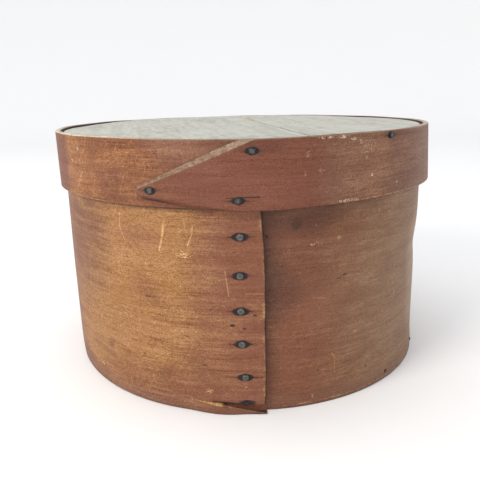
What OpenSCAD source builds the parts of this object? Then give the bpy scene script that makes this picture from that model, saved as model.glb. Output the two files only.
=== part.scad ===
// Bentwood pantry box: a bent, lapped and nailed hoop round a bottom board, under a lid made the same way.
// The origin is the centre of the underside. +Z is up, the laps face the front at -Y, and +X is to the right.
// Lengths are in millimetres. Angles are in degrees from the front, growing towards +X.

/* [Body] */
// Outside diameter of the body hoop, away from its lap
body_d = 231.2; // [180:0.2:300]
// Height of the body hoop
body_h = 138.2; // [110:0.2:200]
// Thickness of the body hoop's strip
body_t = 2.8; // [2:0.1:4]
// Thickness of the bottom board
bottom_t = 9.5; // [7:0.5:14]

/* [Lid] */
// Height of the lid hoop
lid_h = 33.5; // [28:0.5:45]
// Thickness of the lid hoop's strip
lid_t = 3; // [2:0.1:4]
// Thickness of the lid board
lid_board_t = 8; // [6:0.5:10]
// Depth of the lid board below the lid hoop's top edge
lid_recess = 0.8; // [0.4:0.1:2]
// Loose fit between the lid hoop and the body hoop
lid_clear = 1.4; // [1.3:0.1:3]
// Gap round the edge of each board
board_fit = 0.3; // [0.2:0.05:0.8]

/* [Laps] */
// Gap between the two layers of a lap
lap_gap = 0.2; // [0.1:0.05:0.4]
// Angle of the body lap's outer end, right of the front
body_lap_end = 5.2; // [2:0.1:10]
// Angle that the body lap covers at full thickness
body_lap_full = 20; // [14:1:30]
// Angle of the lid finger's tip, left of the front
finger_tip = 25.6; // [20:0.1:30]
// Angle where the finger's upper cut meets the top edge, right of the front
finger_head = 3; // [1:0.5:8]
// Angle where the finger's lower cut meets the bottom edge, left of the front
finger_heel = 4; // [1:0.5:8]
// Height of the finger tip's lower corner above the lid hoop's bottom edge
tip_low = 6.3; // [4:0.1:7]
// Height of the finger tip's upper corner above the lid hoop's bottom edge
tip_high = 8.5; // [8:0.1:14]

/* [Nails] */
// Diameter of a nail's head
nail_head_d = 4; // [3:0.1:5]
// Diameter of the head of a nail into the bottom board
brad_head_d = 2.2; // [1.8:0.1:4]
// Height of a nail's head
nail_head_h = 0.6; // [0.4:0.05:0.7]
// Side of a nail's square shank
nail_shank = 1.5; // [1:0.1:2]
// Depth that a nail goes into a board
nail_bite = 9; // [6:0.5:14]
// Spacing of the nails down the body lap
nail_pitch = 18.4; // [14:0.2:26]
// Length of a clenched nail's bent tip
clench_l = 4; // [2:0.5:6]
// Thickness of a clenched nail's bent tip
clench_t = 0.4; // [0.3:0.05:0.5]

/* [Wear] */
// Length of the drying crack in the lid board, from the front edge
crack_l = 197; // [100:1:210]
// Width of the drying crack at the front edge
crack_w = 1; // [0.5:0.1:2]
// Length of the split along the foot of the body lap, from the lap's end
split_l = 49; // [30:1:60]

/* [Hidden] */
// Radii and heights
body_r = body_d / 2;
body_in_r = body_r - body_t;
lid_seat_r = body_r + lid_clear;
lid_board_z = body_h;
lid_top_z = lid_board_z + lid_board_t + lid_recess;
lid_z = lid_top_z - lid_h;
// Laps: a layer lifts by its thickness and the gap, falls back over the fall angle, and ends in a feather
body_lift = body_t + lap_gap;
lid_lift = lid_t + lap_gap;
body_lap_fall = 47;
lid_lap_full = finger_tip + 9;
lid_lap_fall = 41;
feather_share = 0.7;
body_turn = 360 + body_lap_full + feather_share * body_lap_fall;
lid_turn = 360 + lid_lap_full + feather_share * lid_lap_fall;
strip_step = 2.5;
body_steps = ceil(body_turn / strip_step);
lid_steps = ceil(lid_turn / strip_step);
board_steps = 144;
// The lid hoop swells over the body lap as far as this margin past its end, and eases back over this angle
cover_end = body_lap_end + 3;
cover_ease = 42;
// Room that cutting shapes have past the surfaces that they cut
over = 1;
// Angle to either side at which a wall's slope is read
slope_probe = 1;
// Nails: a small play in the hole and under the head, and the shape of the head
nail_play = 0.06;
head_edge_h = 0.35 * nail_head_h;
head_shoulder_share = 0.56;
head_shoulder_h = 0.85 * nail_head_h;
clench_taper = 0.6;
board_nail_z = bottom_t / 2;
foot_nail_angle = -0.2;
foot_nail_z = 0.67 * bottom_t;
body_nail_top_room = 5;
body_nail_count = floor((body_h - board_nail_z - body_nail_top_room) / nail_pitch);
// The row of nails was set by eye, so each stands a little off its even place and line, from the foot up
body_nail_drift = [-1.6, -1, -1.1, -0.4, 1.4, 1.4, 0, -0.5, 0.5];
body_nail_angles = [-0.3, -1, -1.1, -1.15, -0.95, -1.1, -0.9, -1, -1.2];
bottom_nail_angles = [45.6, 71.5, 112, 153, -164, -122, -82];
lid_board_nail_angles = [39.6, 94, 143, -166, -113];
lid_board_nail_drift = [2.3, 0, 0.6, -0.5, 0.3];
lid_board_nail_z = lid_board_z + lid_board_t / 2;
lid_lap_board_nail = [2.05, lid_board_nail_z - 1.1];
finger_nail_inset = 4.5;
lid_lap_nails = [[-finger_tip + finger_nail_inset, lid_z + tip_high], [-1.1, lid_z + 4.2]];
// The crack follows the lid board's grain, which leans a little from the Y axis
crack_lean = 9.2;
crack_foot_angle = 17.3;
// The end of the body lap leans to the left in this length below the top
lean_h = 46;
lean_x = 4.6;
// The split along the foot of the lap: its root height, and how it opens at the lap's end
split_root_z = 0.78 * bottom_t;
split_upper_z = 0.59 * bottom_t;
split_lower_z = 0.23 * bottom_t;
split_bend_z = 0.52 * bottom_t;
split_bend_share = 0.35;

// A smooth step from 0 to 1
function smooth(s) = let (c = min(max(s, 0), 1)) c * c * (3 - 2 * c);

// Share of a lap's lift that is left at a given angle from the outer end
function lap_share(turn, full, fall) = 1 - smooth((turn - full) / fall);

// Point in plan at a radius and an angle from the front
function at(r, angle) = [r * sin(angle), -r * cos(angle)];

// Angle brought into the range from -180 to 180
function wrap(angle) = angle - 360 * round(angle / 360);

// Turn from 0 to 360 that belongs to a signed angle
function full_turn(angle) = angle - 360 * floor(angle / 360);

// Body hoop: lift, inner radius and thickness at a given turn from the lap's outer end, going left
function body_lift_at(turn) = body_lift * lap_share(turn, body_lap_full, body_lap_fall);
function body_in(turn) = body_in_r + body_lift_at(turn);
function body_thick(turn) =
    turn <= 360 + body_lap_full ? body_t : body_lift_at(turn - 360) - lap_gap;
function body_out_at(angle) = let (turn = full_turn(body_lap_end - angle)) body_in(turn) + body_thick(turn);

// Lid hoop: inner radius round the body at an angle from the front.
// Then lift, inner radius and thickness at a given turn from the finger's tip, going right.
function lid_cover(angle) = angle <= cover_end
    ? lap_share(body_lap_end - angle, body_lap_full, body_lap_fall)
    : 1 - smooth((angle - cover_end) / cover_ease);
function lid_seat(angle) = lid_seat_r + body_lift * lid_cover(wrap(angle));
function lid_lift_at(turn) = lid_lift * lap_share(turn, lid_lap_full, lid_lap_fall);
function lid_in(turn) = lid_seat(turn - finger_tip) + lid_lift_at(turn);
function lid_thick(turn) = turn <= 360 + lid_lap_full ? lid_t : lid_lift_at(turn - 360) - lap_gap;
function lid_out_at(angle) = let (turn = full_turn(angle + finger_tip)) lid_in(turn) + lid_thick(turn);

// Places what follows on a wall, with +X square to it and pointing outwards.
// The wall's radius a little before and a little after gives its slope.
module on_wall(r, r_before, r_after, angle, z) {
    slope = (r_after - r_before) / (2 * slope_probe * r * PI / 180);
    rotate([0, 0, angle - 90]) translate([r, 0, z]) rotate([0, 0, -atan(slope)]) children();
}
module on_body(angle, z) {
    on_wall(body_out_at(angle), body_out_at(angle - slope_probe), body_out_at(angle + slope_probe), angle, z)
        children();
}
module on_lid(angle, z) {
    on_wall(lid_out_at(angle), lid_out_at(angle - slope_probe), lid_out_at(angle + slope_probe), angle, z)
        children();
}

// Outline in the front view, pushed through from the front to the axis
module front_prism(points) {
    rotate([90, 0, 0]) linear_extrude(body_d) polygon(points);
}

// Body strip before its wear: the outer layer first, then once round and under the lap to the feathered end
module body_strip() {
    linear_extrude(body_h) polygon([
        for (i = [0 : body_steps]) let (turn = i * body_turn / body_steps)
            at(body_in(turn) + body_thick(turn), body_lap_end - turn),
        for (i = [body_steps : -1 : 0]) let (turn = i * body_turn / body_steps)
            at(body_in(turn), body_lap_end - turn)
    ]);
}

// Space of the body lap's outer layer alone, from the middle of the gap outwards
module body_lap_space() {
    turns = [for (turn = [-strip_step : strip_step : body_lap_full + body_lap_fall / 2]) turn];
    last = len(turns) - 1;
    translate([0, 0, -over]) linear_extrude(body_h + 2 * over) polygon([
        for (turn = turns) at(body_in(turn) + body_t + over, body_lap_end - turn),
        for (i = [last : -1 : 0]) at(body_in(turns[i]) - lap_gap / 2, body_lap_end - turns[i])
    ]);
}

// Wear of the body lap: the leaning top of its end, and the split along its foot
module body_lap_wear() {
    end_x = body_out_at(body_lap_end) * sin(body_lap_end);
    root_x = end_x - split_l;
    intersection() {
        body_lap_space();
        union() {
            front_prism([[end_x, body_h - lean_h], [end_x + 2 * over, body_h - lean_h],
                [end_x + 2 * over, body_h + over], [end_x - lean_x, body_h + over]]);
            front_prism([[root_x, split_root_z], [end_x + 2 * over, split_upper_z],
                [end_x + 2 * over, split_lower_z], [end_x - split_bend_share * split_l, split_bend_z]]);
        }
    }
}

// Lid strip before its finger is cut
module lid_strip() {
    translate([0, 0, lid_z]) linear_extrude(lid_h) polygon([
        for (i = [0 : lid_steps]) let (turn = i * lid_turn / lid_steps)
            at(lid_in(turn) + lid_thick(turn), turn - finger_tip),
        for (i = [lid_steps : -1 : 0]) let (turn = i * lid_turn / lid_steps)
            at(lid_in(turn), turn - finger_tip)
    ]);
}

// Space of the lid finger alone, from the middle of the gap outwards
module finger_space() {
    turns = [for (turn = [-strip_step : strip_step : finger_tip + finger_head + strip_step]) turn];
    last = len(turns) - 1;
    translate([0, 0, lid_z - over]) linear_extrude(lid_h + 2 * over) polygon([
        for (turn = turns) at(lid_in(turn) + lid_t + over, turn - finger_tip),
        for (i = [last : -1 : 0]) at(lid_in(turns[i]) - lap_gap / 2, turns[i] - finger_tip)
    ]);
}

// What is cut from the lid's outer layer to leave the finger: above its long slope and below its short one
module finger_cut() {
    tip_x = -lid_out_at(-finger_tip) * sin(finger_tip);
    head_x = lid_out_at(finger_head) * sin(finger_head);
    heel_x = -lid_out_at(-finger_heel) * sin(finger_heel);
    far_x = 2 * tip_x;
    intersection() {
        finger_space();
        union() {
            front_prism([[far_x, lid_z + tip_high], [tip_x, lid_z + tip_high], [head_x, lid_top_z],
                [head_x, lid_top_z + over], [far_x, lid_top_z + over]]);
            front_prism([[far_x, lid_z + tip_low], [tip_x, lid_z + tip_low], [heel_x, lid_z],
                [heel_x, lid_z - over], [far_x, lid_z - over]]);
        }
    }
}

// Nail with its head on a wall at X = 0, driven towards -X
module nail(reach, head_d = nail_head_d) {
    head_r = head_d / 2;
    shoulder_r = head_shoulder_share * head_r;
    translate([nail_play, 0, 0]) rotate([0, 90, 0]) rotate_extrude() polygon([[0, 0], [head_r, 0],
        [head_r, head_edge_h], [shoulder_r, head_shoulder_h], [0, nail_head_h]]);
    translate([-reach, -nail_shank / 2, -nail_shank / 2])
        cube([reach + nail_play + head_edge_h, nail_shank, nail_shank]);
}

// Nail through two layers, with its tip bent down along the inside
module clenched_nail(layers) {
    reach = layers + nail_play;
    nail(reach + clench_t);
    translate([-reach, 0, 0]) rotate([90, 0, 0]) linear_extrude(nail_shank, center = true)
        polygon([[0, nail_shank / 2], [-clench_t, nail_shank / 2],
            [-clench_t, -clench_taper * clench_l], [0, -clench_l]]);
}

// Hole for a nail of a given reach
module nail_hole(reach) {
    side = nail_shank + 2 * nail_play;
    translate([-reach - nail_play, -side / 2, -side / 2]) cube([reach + 2 * over, side, side]);
}

// Reach of a nail from the outside of a hoop into a board's edge
function bottom_reach(angle) = body_out_at(angle) - body_in_r + board_fit + nail_bite;
function lid_reach(angle) = lid_out_at(angle) - lid_seat(angle) + board_fit + nail_bite;

// Places of the nails: each of these puts what follows at every nail of its kind
module each_body_lap_nail() {
    for (i = [1 : body_nail_count]) let (k = (i - 1) % len(body_nail_drift))
        on_body(body_nail_angles[k], board_nail_z + i * nail_pitch + body_nail_drift[k]) children();
}
module at_body_foot_nail() {
    on_body(foot_nail_angle, foot_nail_z) children();
}
module each_lid_lap_nail() {
    for (place = lid_lap_nails) on_lid(place[0], place[1]) children();
}
module at_lid_lap_board_nail() {
    on_lid(lid_lap_board_nail[0], lid_lap_board_nail[1]) children();
}

// The nails into the boards, or their holes
module bottom_board_nail_set(hole) {
    for (angle = bottom_nail_angles) on_body(angle, board_nail_z) {
        if (hole) nail_hole(bottom_reach(angle)); else nail(bottom_reach(angle), brad_head_d);
    }
}
module lid_board_nail_set(hole) {
    for (i = [0 : len(lid_board_nail_angles) - 1]) let (angle = lid_board_nail_angles[i])
        on_lid(angle, lid_board_nail_z + lid_board_nail_drift[i]) {
            if (hole) nail_hole(lid_reach(angle)); else nail(lid_reach(angle));
        }
}

// Bent strip of the body, lapped at the front
module body_hoop() {
    color("peru") difference() {
        body_strip();
        body_lap_wear();
        each_body_lap_nail() nail_hole(2 * body_t + lap_gap + over);
        at_body_foot_nail() nail_hole(bottom_reach(foot_nail_angle));
        bottom_board_nail_set(true);
    }
}

// Round board in the foot of the body
module bottom_board() {
    color("burlywood") difference() {
        cylinder(r = body_in_r - board_fit, h = bottom_t, $fn = 180);
        at_body_foot_nail() nail_hole(bottom_reach(foot_nail_angle));
        bottom_board_nail_set(true);
    }
}

// Bent strip of the lid, lapped at the front with a pointed finger
module lid_hoop() {
    color("sienna") difference() {
        lid_strip();
        finger_cut();
        each_lid_lap_nail() nail_hole(2 * lid_t + lap_gap + over);
        at_lid_lap_board_nail() nail_hole(lid_reach(lid_lap_board_nail[0]));
        lid_board_nail_set(true);
    }
}

// Board of the lid, cut to the inside of its hoop, with a drying crack along the grain
module lid_board() {
    foot = at(lid_seat(crack_foot_angle), crack_foot_angle);
    color("gainsboro") difference() {
        translate([0, 0, lid_board_z]) linear_extrude(lid_board_t) polygon([
            for (i = [0 : board_steps - 1]) let (angle = i * 360 / board_steps)
                at(lid_seat(angle) - board_fit, angle)
        ]);
        translate([foot[0], foot[1], lid_board_z - over]) rotate([0, 0, crack_lean])
            linear_extrude(lid_board_t + 2 * over)
                polygon([[-crack_w / 2, -over], [crack_w / 2, -over], [0, crack_l]]);
        at_lid_lap_board_nail() nail_hole(lid_reach(lid_lap_board_nail[0]));
        lid_board_nail_set(true);
    }
}

// Clenched nails of the body lap
module body_lap_nails() {
    color("dimgray") each_body_lap_nail() clenched_nail(2 * body_t + lap_gap);
}

// Lowest nail of the body lap, through both layers into the bottom board
module body_foot_nail() {
    color("dimgray") at_body_foot_nail() nail(bottom_reach(foot_nail_angle));
}

// Nails from the body hoop into the bottom board
module bottom_board_nails() {
    color("dimgray") bottom_board_nail_set(false);
}

// Clenched nails of the lid lap
module lid_lap_nails() {
    color("dimgray") each_lid_lap_nail() clenched_nail(2 * lid_t + lap_gap);
}

// Nail through the lid lap into the lid board
module lid_lap_board_nail() {
    color("dimgray") at_lid_lap_board_nail() nail(lid_reach(lid_lap_board_nail[0]));
}

// Nails from the lid hoop into the lid board
module lid_board_nails() {
    color("dimgray") lid_board_nail_set(false);
}

body_hoop();
bottom_board();
lid_hoop();
lid_board();
body_lap_nails();
body_foot_nail();
bottom_board_nails();
lid_lap_nails();
lid_lap_board_nail();
lid_board_nails();
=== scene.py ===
"""Looks of the bentwood pantry box: bent hoops, boards, nails, their finishes, the studio and the camera.

Sizes are in millimetres and angles in degrees from the front (-Y), growing towards +X, unless a name says
otherwise. Meshes are in metres, in the frame of the loaded parts.
"""

import logging
import math
from abc import ABC, abstractmethod
from dataclasses import dataclass
from enum import Enum
from typing import Any

import bmesh
import bpy
import numpy as np
from mathutils import Matrix, Vector

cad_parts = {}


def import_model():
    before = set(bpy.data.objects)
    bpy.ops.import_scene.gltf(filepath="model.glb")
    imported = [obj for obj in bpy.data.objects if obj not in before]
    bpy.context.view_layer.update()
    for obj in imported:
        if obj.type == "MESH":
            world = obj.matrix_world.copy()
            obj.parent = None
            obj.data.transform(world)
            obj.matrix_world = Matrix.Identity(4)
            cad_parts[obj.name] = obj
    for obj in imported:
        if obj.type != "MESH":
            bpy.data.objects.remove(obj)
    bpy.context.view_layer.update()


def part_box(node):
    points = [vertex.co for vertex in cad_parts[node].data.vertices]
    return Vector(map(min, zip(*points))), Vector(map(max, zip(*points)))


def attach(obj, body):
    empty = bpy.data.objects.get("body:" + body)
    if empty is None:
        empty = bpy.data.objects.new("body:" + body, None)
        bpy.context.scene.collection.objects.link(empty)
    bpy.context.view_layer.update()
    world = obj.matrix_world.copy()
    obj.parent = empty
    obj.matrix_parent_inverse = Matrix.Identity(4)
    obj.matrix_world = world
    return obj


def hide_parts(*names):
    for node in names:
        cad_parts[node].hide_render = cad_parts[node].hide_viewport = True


LOG = logging.getLogger("pantry_box")
MM = 0.001
BODY_DIAMETER = 231.2
BODY_WALL = 2.8
LID_CLEAR = 1.4
FULL_TURN = 360.0
HALF_TURN = 180.0
STRIP = "strip"
EDGE = "edge"
CROWN = "crown"
POCKET = "pocket"
CRACK = "crack"
LIP, GAP, LEDGE, BACK = 0.2, 0.35, 0.6, 1.0
FAR_MM = 9.0
OVER_EDGE_MM = 2.0
MERGE_M = 1e-6
SHARP_DEG = 38.0
NEAR_BLACK = 0.004
MIDDLE = 0.5
UPWARD = np.array([0.0, 0.0, 1.0])

Array = np.ndarray
Colour = tuple[float, float, float]
Point = tuple[float, float, float]
Waves = tuple[tuple[float, float, float], ...]
Socket = bpy.types.NodeSocket
Piece = bpy.types.Object


class Wind(Enum):
    """Way that a strip runs from the outer end of its lap, seen from the front."""

    LEFT = -1.0
    RIGHT = 1.0


class Body(Enum):
    """Moving bodies of the box."""

    BOX = "box"
    LID = "lid"


def smooth(share: Array) -> Array:
    """Smooth step: three times the square of the share less twice its cube, with the share held in 0 to 1."""
    held = np.clip(share, 0.0, 1.0)
    return held * held * (3.0 - 2.0 * held)


def ripple(values: Array, waves: Waves) -> Array:
    """Sum of sine waves, each with a wave length, a height and a phase."""
    parts = [height * np.sin(2.0 * np.pi * values / length + phase) for length, height, phase in waves]
    return np.sum(parts, axis=0)


def hump(values: Array, centre: float, width: float) -> Array:
    """Bell curve of height 1: e to the minus square of the distance from the centre over the width."""
    return np.exp(-(((values - centre) / width) ** 2))


def rounding(run: Array, radius: float) -> Array:
    """Quarter circle: from 0 at the start to 1 at a run of one radius, and 1 beyond."""
    return np.sqrt(1.0 - (1.0 - np.clip(run / radius, 0.0, 1.0)) ** 2)


def wrapped(angle: Array) -> Array:
    """Angle brought to within half a turn of the front."""
    return angle - FULL_TURN * np.round(angle / FULL_TURN)


def turned(first: Any, second: Any, lean: float) -> tuple[Any, Any]:
    """Two numbers of a place, as arrays or signals, measured on axes that lean by an angle."""
    cosine, sine = math.cos(math.radians(lean)), math.sin(math.radians(lean))
    return first * cosine + second * sine, second * cosine - first * sine


def wall_points(radius: Array, angle: Array, height: Array) -> Array:
    """Points round the axis: radius times the sine and minus the cosine of the angle, and the height."""
    turn = np.radians(angle)
    return np.stack([radius * np.sin(turn), -radius * np.cos(turn), height], axis=-1)


def grid_faces(rows: int, columns: int, closed: bool) -> Array:
    """Quads of a grid of points numbered row by row.

    Args:
        rows: Number of rows.
        columns: Number of columns.
        closed: Whether the last column joins the first.

    Returns:
        Four point numbers for each quad.
    """
    row = np.arange(rows - 1)[:, None] * columns
    column = np.arange(columns if closed else columns - 1)[None, :]
    following = (column + 1) % columns
    corners = (row + column, row + following, row + columns + following, row + columns + column)
    return np.stack(np.broadcast_arrays(*corners), axis=-1).reshape(-1, 4)


def linear(red: int, green: int, blue: int) -> Colour:
    """Scene-linear colour of a screen colour given in 0 to 255."""
    shares = [value / 255.0 for value in (red, green, blue)]
    return tuple(s / 12.92 if s <= 0.04045 else ((s + 0.055) / 1.055) ** 2.4 for s in shares)


def put_mesh(name: str, points: Array, faces: list[list[int]], marks: dict[str, Array]) -> Piece:
    """Makes an object from points in millimetres, joins what coincides and turns every face outwards.

    Args:
        name: Name of the piece.
        points: Points, three to a row.
        faces: Point numbers of each face.
        marks: Values kept on the points, one or three to a point, by name.

    Returns:
        The new object, at the origin.
    """
    mesh = bpy.data.meshes.new(name)
    mesh.from_pydata(points * MM, [], faces)
    for mark, values in marks.items():
        if values.ndim == 2:
            mesh.attributes.new(mark, "FLOAT_VECTOR", "POINT").data.foreach_set("vector", values.ravel())
        else:
            mesh.attributes.new(mark, "FLOAT", "POINT").data.foreach_set("value", values)
    shape = bmesh.new()
    shape.from_mesh(mesh)
    bmesh.ops.remove_doubles(shape, verts=shape.verts, dist=MERGE_M)
    bmesh.ops.recalc_face_normals(shape, faces=shape.faces)
    shape.to_mesh(mesh)
    shape.free()
    mesh.polygons.foreach_set("use_smooth", np.ones(len(mesh.polygons), dtype=bool))
    mesh.set_sharp_from_angle(angle=math.radians(SHARP_DEG))
    piece = bpy.data.objects.new(name, mesh)
    bpy.context.collection.objects.link(piece)
    return piece


def place_piece(piece: Piece, node: str, body: Body) -> Piece:
    """Puts a piece on its body in place of a solid, and hides the solid.

    Args:
        piece: The piece.
        node: Name of the solid that it stands for.
        body: Body that it rides on.

    Returns:
        The piece.
    """
    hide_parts(node)
    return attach(piece, body.value)


class Signal:
    """A number in a shader: a socket whose Python arithmetic adds Math nodes."""

    def __init__(self, bench: "Bench", socket: Socket) -> None:
        """Keeps the socket and the bench that it belongs to."""
        self.bench = bench
        self.socket = socket

    def __add__(self, other: "Signal | float") -> "Signal":
        """Sum."""
        return self.bench.maths("ADD", self, other)

    def __radd__(self, other: "Signal | float") -> "Signal":
        """Sum, with the number first."""
        return self.bench.maths("ADD", other, self)

    def __sub__(self, other: "Signal | float") -> "Signal":
        """Difference."""
        return self.bench.maths("SUBTRACT", self, other)

    def __rsub__(self, other: "Signal | float") -> "Signal":
        """Difference, with the number first."""
        return self.bench.maths("SUBTRACT", other, self)

    def __mul__(self, other: "Signal | float") -> "Signal":
        """Product."""
        return self.bench.maths("MULTIPLY", self, other)

    def __rmul__(self, other: "Signal | float") -> "Signal":
        """Product, with the number first."""
        return self.bench.maths("MULTIPLY", other, self)

    def __abs__(self) -> "Signal":
        """Size without its sign."""
        return self.bench.maths("ABSOLUTE", self)

    def highest(self, other: "Signal | float") -> "Signal":
        """Larger of the two."""
        return self.bench.maths("MAXIMUM", self, other)

    def lowest(self, other: "Signal | float") -> "Signal":
        """Smaller of the two."""
        return self.bench.maths("MINIMUM", self, other)

    def step(self, low: float, high: float) -> "Signal":
        """Smooth step from 0 at low to 1 at high, or falling where low is the larger."""
        ranged = self.bench.node("ShaderNodeMapRange", {"interpolation_type": "SMOOTHSTEP"},
                                 {"Value": self, "From Min": low, "From Max": high})
        return Signal(self.bench, ranged.outputs["Result"])

    def step_mm(self, low: float, high: float) -> "Signal":
        """Smooth step of a signal in metres between two lengths in millimetres."""
        return self.step(low * MM, high * MM)


def swing(*parts: tuple[Signal, Any]) -> Signal:
    """Sum of noises, each less its middle and times a weight."""
    first, *others = [(noise - MIDDLE) * weight for noise, weight in parts]
    return sum(others, first)


@dataclass(frozen=True)
class Grain:
    """A layer of noise: lumps to a metre on two axes, which of many unlike layers, and its finer layers."""

    first: float
    second: float
    layer: float
    detail: float = 3.0
    rough: float = 0.6


class Bench:
    """Node tree of one material, with the few moves that its finishes are made of."""

    def __init__(self, name: str) -> None:
        """Starts a material with a Principled shader.

        Args:
            name: Name of the material.
        """
        self.material = bpy.data.materials.new(name)
        self.material.use_nodes = True
        self.tree = self.material.node_tree
        self.shader = self.tree.nodes["Principled BSDF"]

    def fill(self, socket: Socket, value: Any) -> None:
        """Links a signal or socket to a socket, or sets a plain value on it.

        Args:
            socket: Socket to fill.
            value: Signal, socket, number or colour.
        """
        if isinstance(value, Signal):
            self.tree.links.new(value.socket, socket)
        elif isinstance(value, Socket):
            self.tree.links.new(value, socket)
        else:
            socket.default_value = value

    def node(self, kind: str, settings: dict[str, Any], sockets: dict[Any, Any]) -> bpy.types.Node:
        """Adds a node.

        Args:
            kind: Type of the node.
            settings: Its own settings, set before its sockets.
            sockets: Values or links of its sockets, by name or number.

        Returns:
            The new node.
        """
        made = self.tree.nodes.new(kind)
        for key, value in settings.items():
            setattr(made, key, value)
        for key, value in sockets.items():
            self.fill(made.inputs[key], value)
        return made

    def maths(self, operation: str, first: "Signal | float", second: "Signal | float" = 0.0) -> Signal:
        """Adds a Math node and gives its result."""
        made = self.node("ShaderNodeMath", {"operation": operation}, {0: first, 1: second})
        return Signal(self, made.outputs[0])

    def vector_maths(self, operation: str, sockets: dict[Any, Any], result: str = "Vector") -> Socket:
        """Adds a Vector Math node and gives its result."""
        return self.node("ShaderNodeVectorMath", {"operation": operation}, sockets).outputs[result]

    def mark(self, name: str) -> Socket:
        """Vector kept on the piece's points under a name."""
        return self.node("ShaderNodeAttribute", {"attribute_name": name}, {}).outputs["Vector"]

    def mark_value(self, name: str) -> Signal:
        """Number kept on the piece's points under a name."""
        return Signal(self, self.node("ShaderNodeAttribute", {"attribute_name": name}, {}).outputs["Fac"])

    def object_place(self) -> Socket:
        """Place in the piece's own coordinates, in metres."""
        return self.node("ShaderNodeTexCoord", {}, {}).outputs["Object"]

    def parts(self, vector: Socket) -> tuple[Signal, Signal, Signal]:
        """The three numbers of a vector."""
        made = self.node("ShaderNodeSeparateXYZ", {}, {0: vector})
        return tuple(Signal(self, socket) for socket in made.outputs)

    def vector(self, x: "Signal | float", y: "Signal | float", z: "Signal | float") -> Socket:
        """Vector made of three numbers."""
        return self.node("ShaderNodeCombineXYZ", {}, {0: x, 1: y, 2: z}).outputs[0]

    def dot(self, place: Socket, ahead: Array) -> Signal:
        """Distance along a direction given by its first two numbers."""
        direction = (*map(float, ahead), 0.0)
        return Signal(self, self.vector_maths("DOT_PRODUCT", {0: place, 1: direction}, "Value"))

    def noise(self, place: Socket, scale: float, detail: float = 2.0, rough: float = 0.5) -> Signal:
        """Smooth noise.

        Args:
            place: Where the noise is read.
            scale: Number of lumps to a unit of place.
            detail: Number of finer layers.
            rough: Strength of each finer layer.

        Returns:
            The noise, from 0 to 1.
        """
        made = self.node("ShaderNodeTexNoise", {"noise_dimensions": "3D"},
                         {"Vector": place, "Scale": scale, "Detail": detail, "Roughness": rough})
        return Signal(self, made.outputs["Fac"])

    def grain(self, first: Signal, second: Signal, layer: Grain) -> Signal:
        """Noise stretched along one of two axes."""
        place = self.vector(first * layer.first, second * layer.second, layer.layer)
        return self.noise(place, 1.0, layer.detail, layer.rough)

    def coats(self, colour: Any, *coats: tuple[Any, Any]) -> Any:
        """Lays colours over a colour, one after another.

        Args:
            colour: Colour or socket at the bottom.
            coats: How much of each coat shows, and its colour or socket.

        Returns:
            The colour that shows.
        """
        for share, over in coats:
            under, upper = (part + (1.0,) if isinstance(part, tuple) else part for part in (colour, over))
            made = self.node("ShaderNodeMix", {"data_type": "RGBA", "clamp_factor": True},
                             {0: share, 6: under, 7: upper})
            colour = made.outputs[2]
        return colour

    def liven(self, colour: Socket, share: Signal) -> Socket:
        """Lightens a colour by a share of itself and of its grey, or darkens it where the share is below 0.

        Args:
            colour: The colour.
            share: How much to lighten.

        Returns:
            The new colour, kept above black.
        """
        grey = Signal(self, self.node("ShaderNodeRGBToBW", {}, {0: colour}).outputs[0])
        scaled = self.vector_maths("SCALE", {0: colour, "Scale": share + 1.0})
        lift = grey * share
        moved = self.vector_maths("ADD", {0: scaled, 1: self.vector(lift, lift, lift)})
        return self.vector_maths("MAXIMUM", {0: moved, 1: (NEAR_BLACK, NEAR_BLACK, NEAR_BLACK)})

    def finish(self, colour: Any, roughness: Any, height: Signal, depth: float, specular: float) -> None:
        """Joins the finished colour, roughness and bumps to the shader.

        Args:
            colour: Base colour.
            roughness: Roughness.
            height: Height of the bumps, from 0 to 1.
            depth: Depth of the bumps.
            specular: Strength of the plain reflection.
        """
        bump = self.node("ShaderNodeBump", {}, {"Strength": 1.0, "Distance": depth * MM, "Height": height})
        self.fill(self.shader.inputs["Base Color"], colour)
        self.fill(self.shader.inputs["Roughness"], roughness)
        self.fill(self.shader.inputs["Normal"], bump.outputs[0])
        self.shader.inputs["Specular IOR Level"].default_value = specular


@dataclass(frozen=True)
class Stroke:
    """A thin scratch on a hoop, from one place to another, each an angle and a height."""

    start: tuple[float, float]
    end: tuple[float, float]
    width: float
    strength: float


@dataclass(frozen=True)
class Patch:
    """A soft region of a hoop, centred on an angle and a height, with its half sizes in millimetres."""

    angle: float
    height: float
    along: float
    across: float
    strength: float


@dataclass(frozen=True)
class NailPlace:
    """A nail on a hoop: its angle and height, how deep it goes, and whether its tip is bent over inside."""

    angle: float
    height: float
    reach: float
    clenched: bool = False


Strokes = tuple[Stroke, ...]
Patches = tuple[Patch, ...]
Nails = tuple[NailPlace, ...]


def scratches(*rows: tuple[float, ...]) -> Strokes:
    """Strokes from rows of two places, a width and a strength."""
    return tuple(Stroke(row[:2], row[2:4], *row[4:]) for row in rows)


def spots(*rows: tuple[float, ...]) -> Patches:
    """Patches from rows of an angle, a height, half sizes along and across, and a strength."""
    return tuple(Patch(*row) for row in rows)


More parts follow.
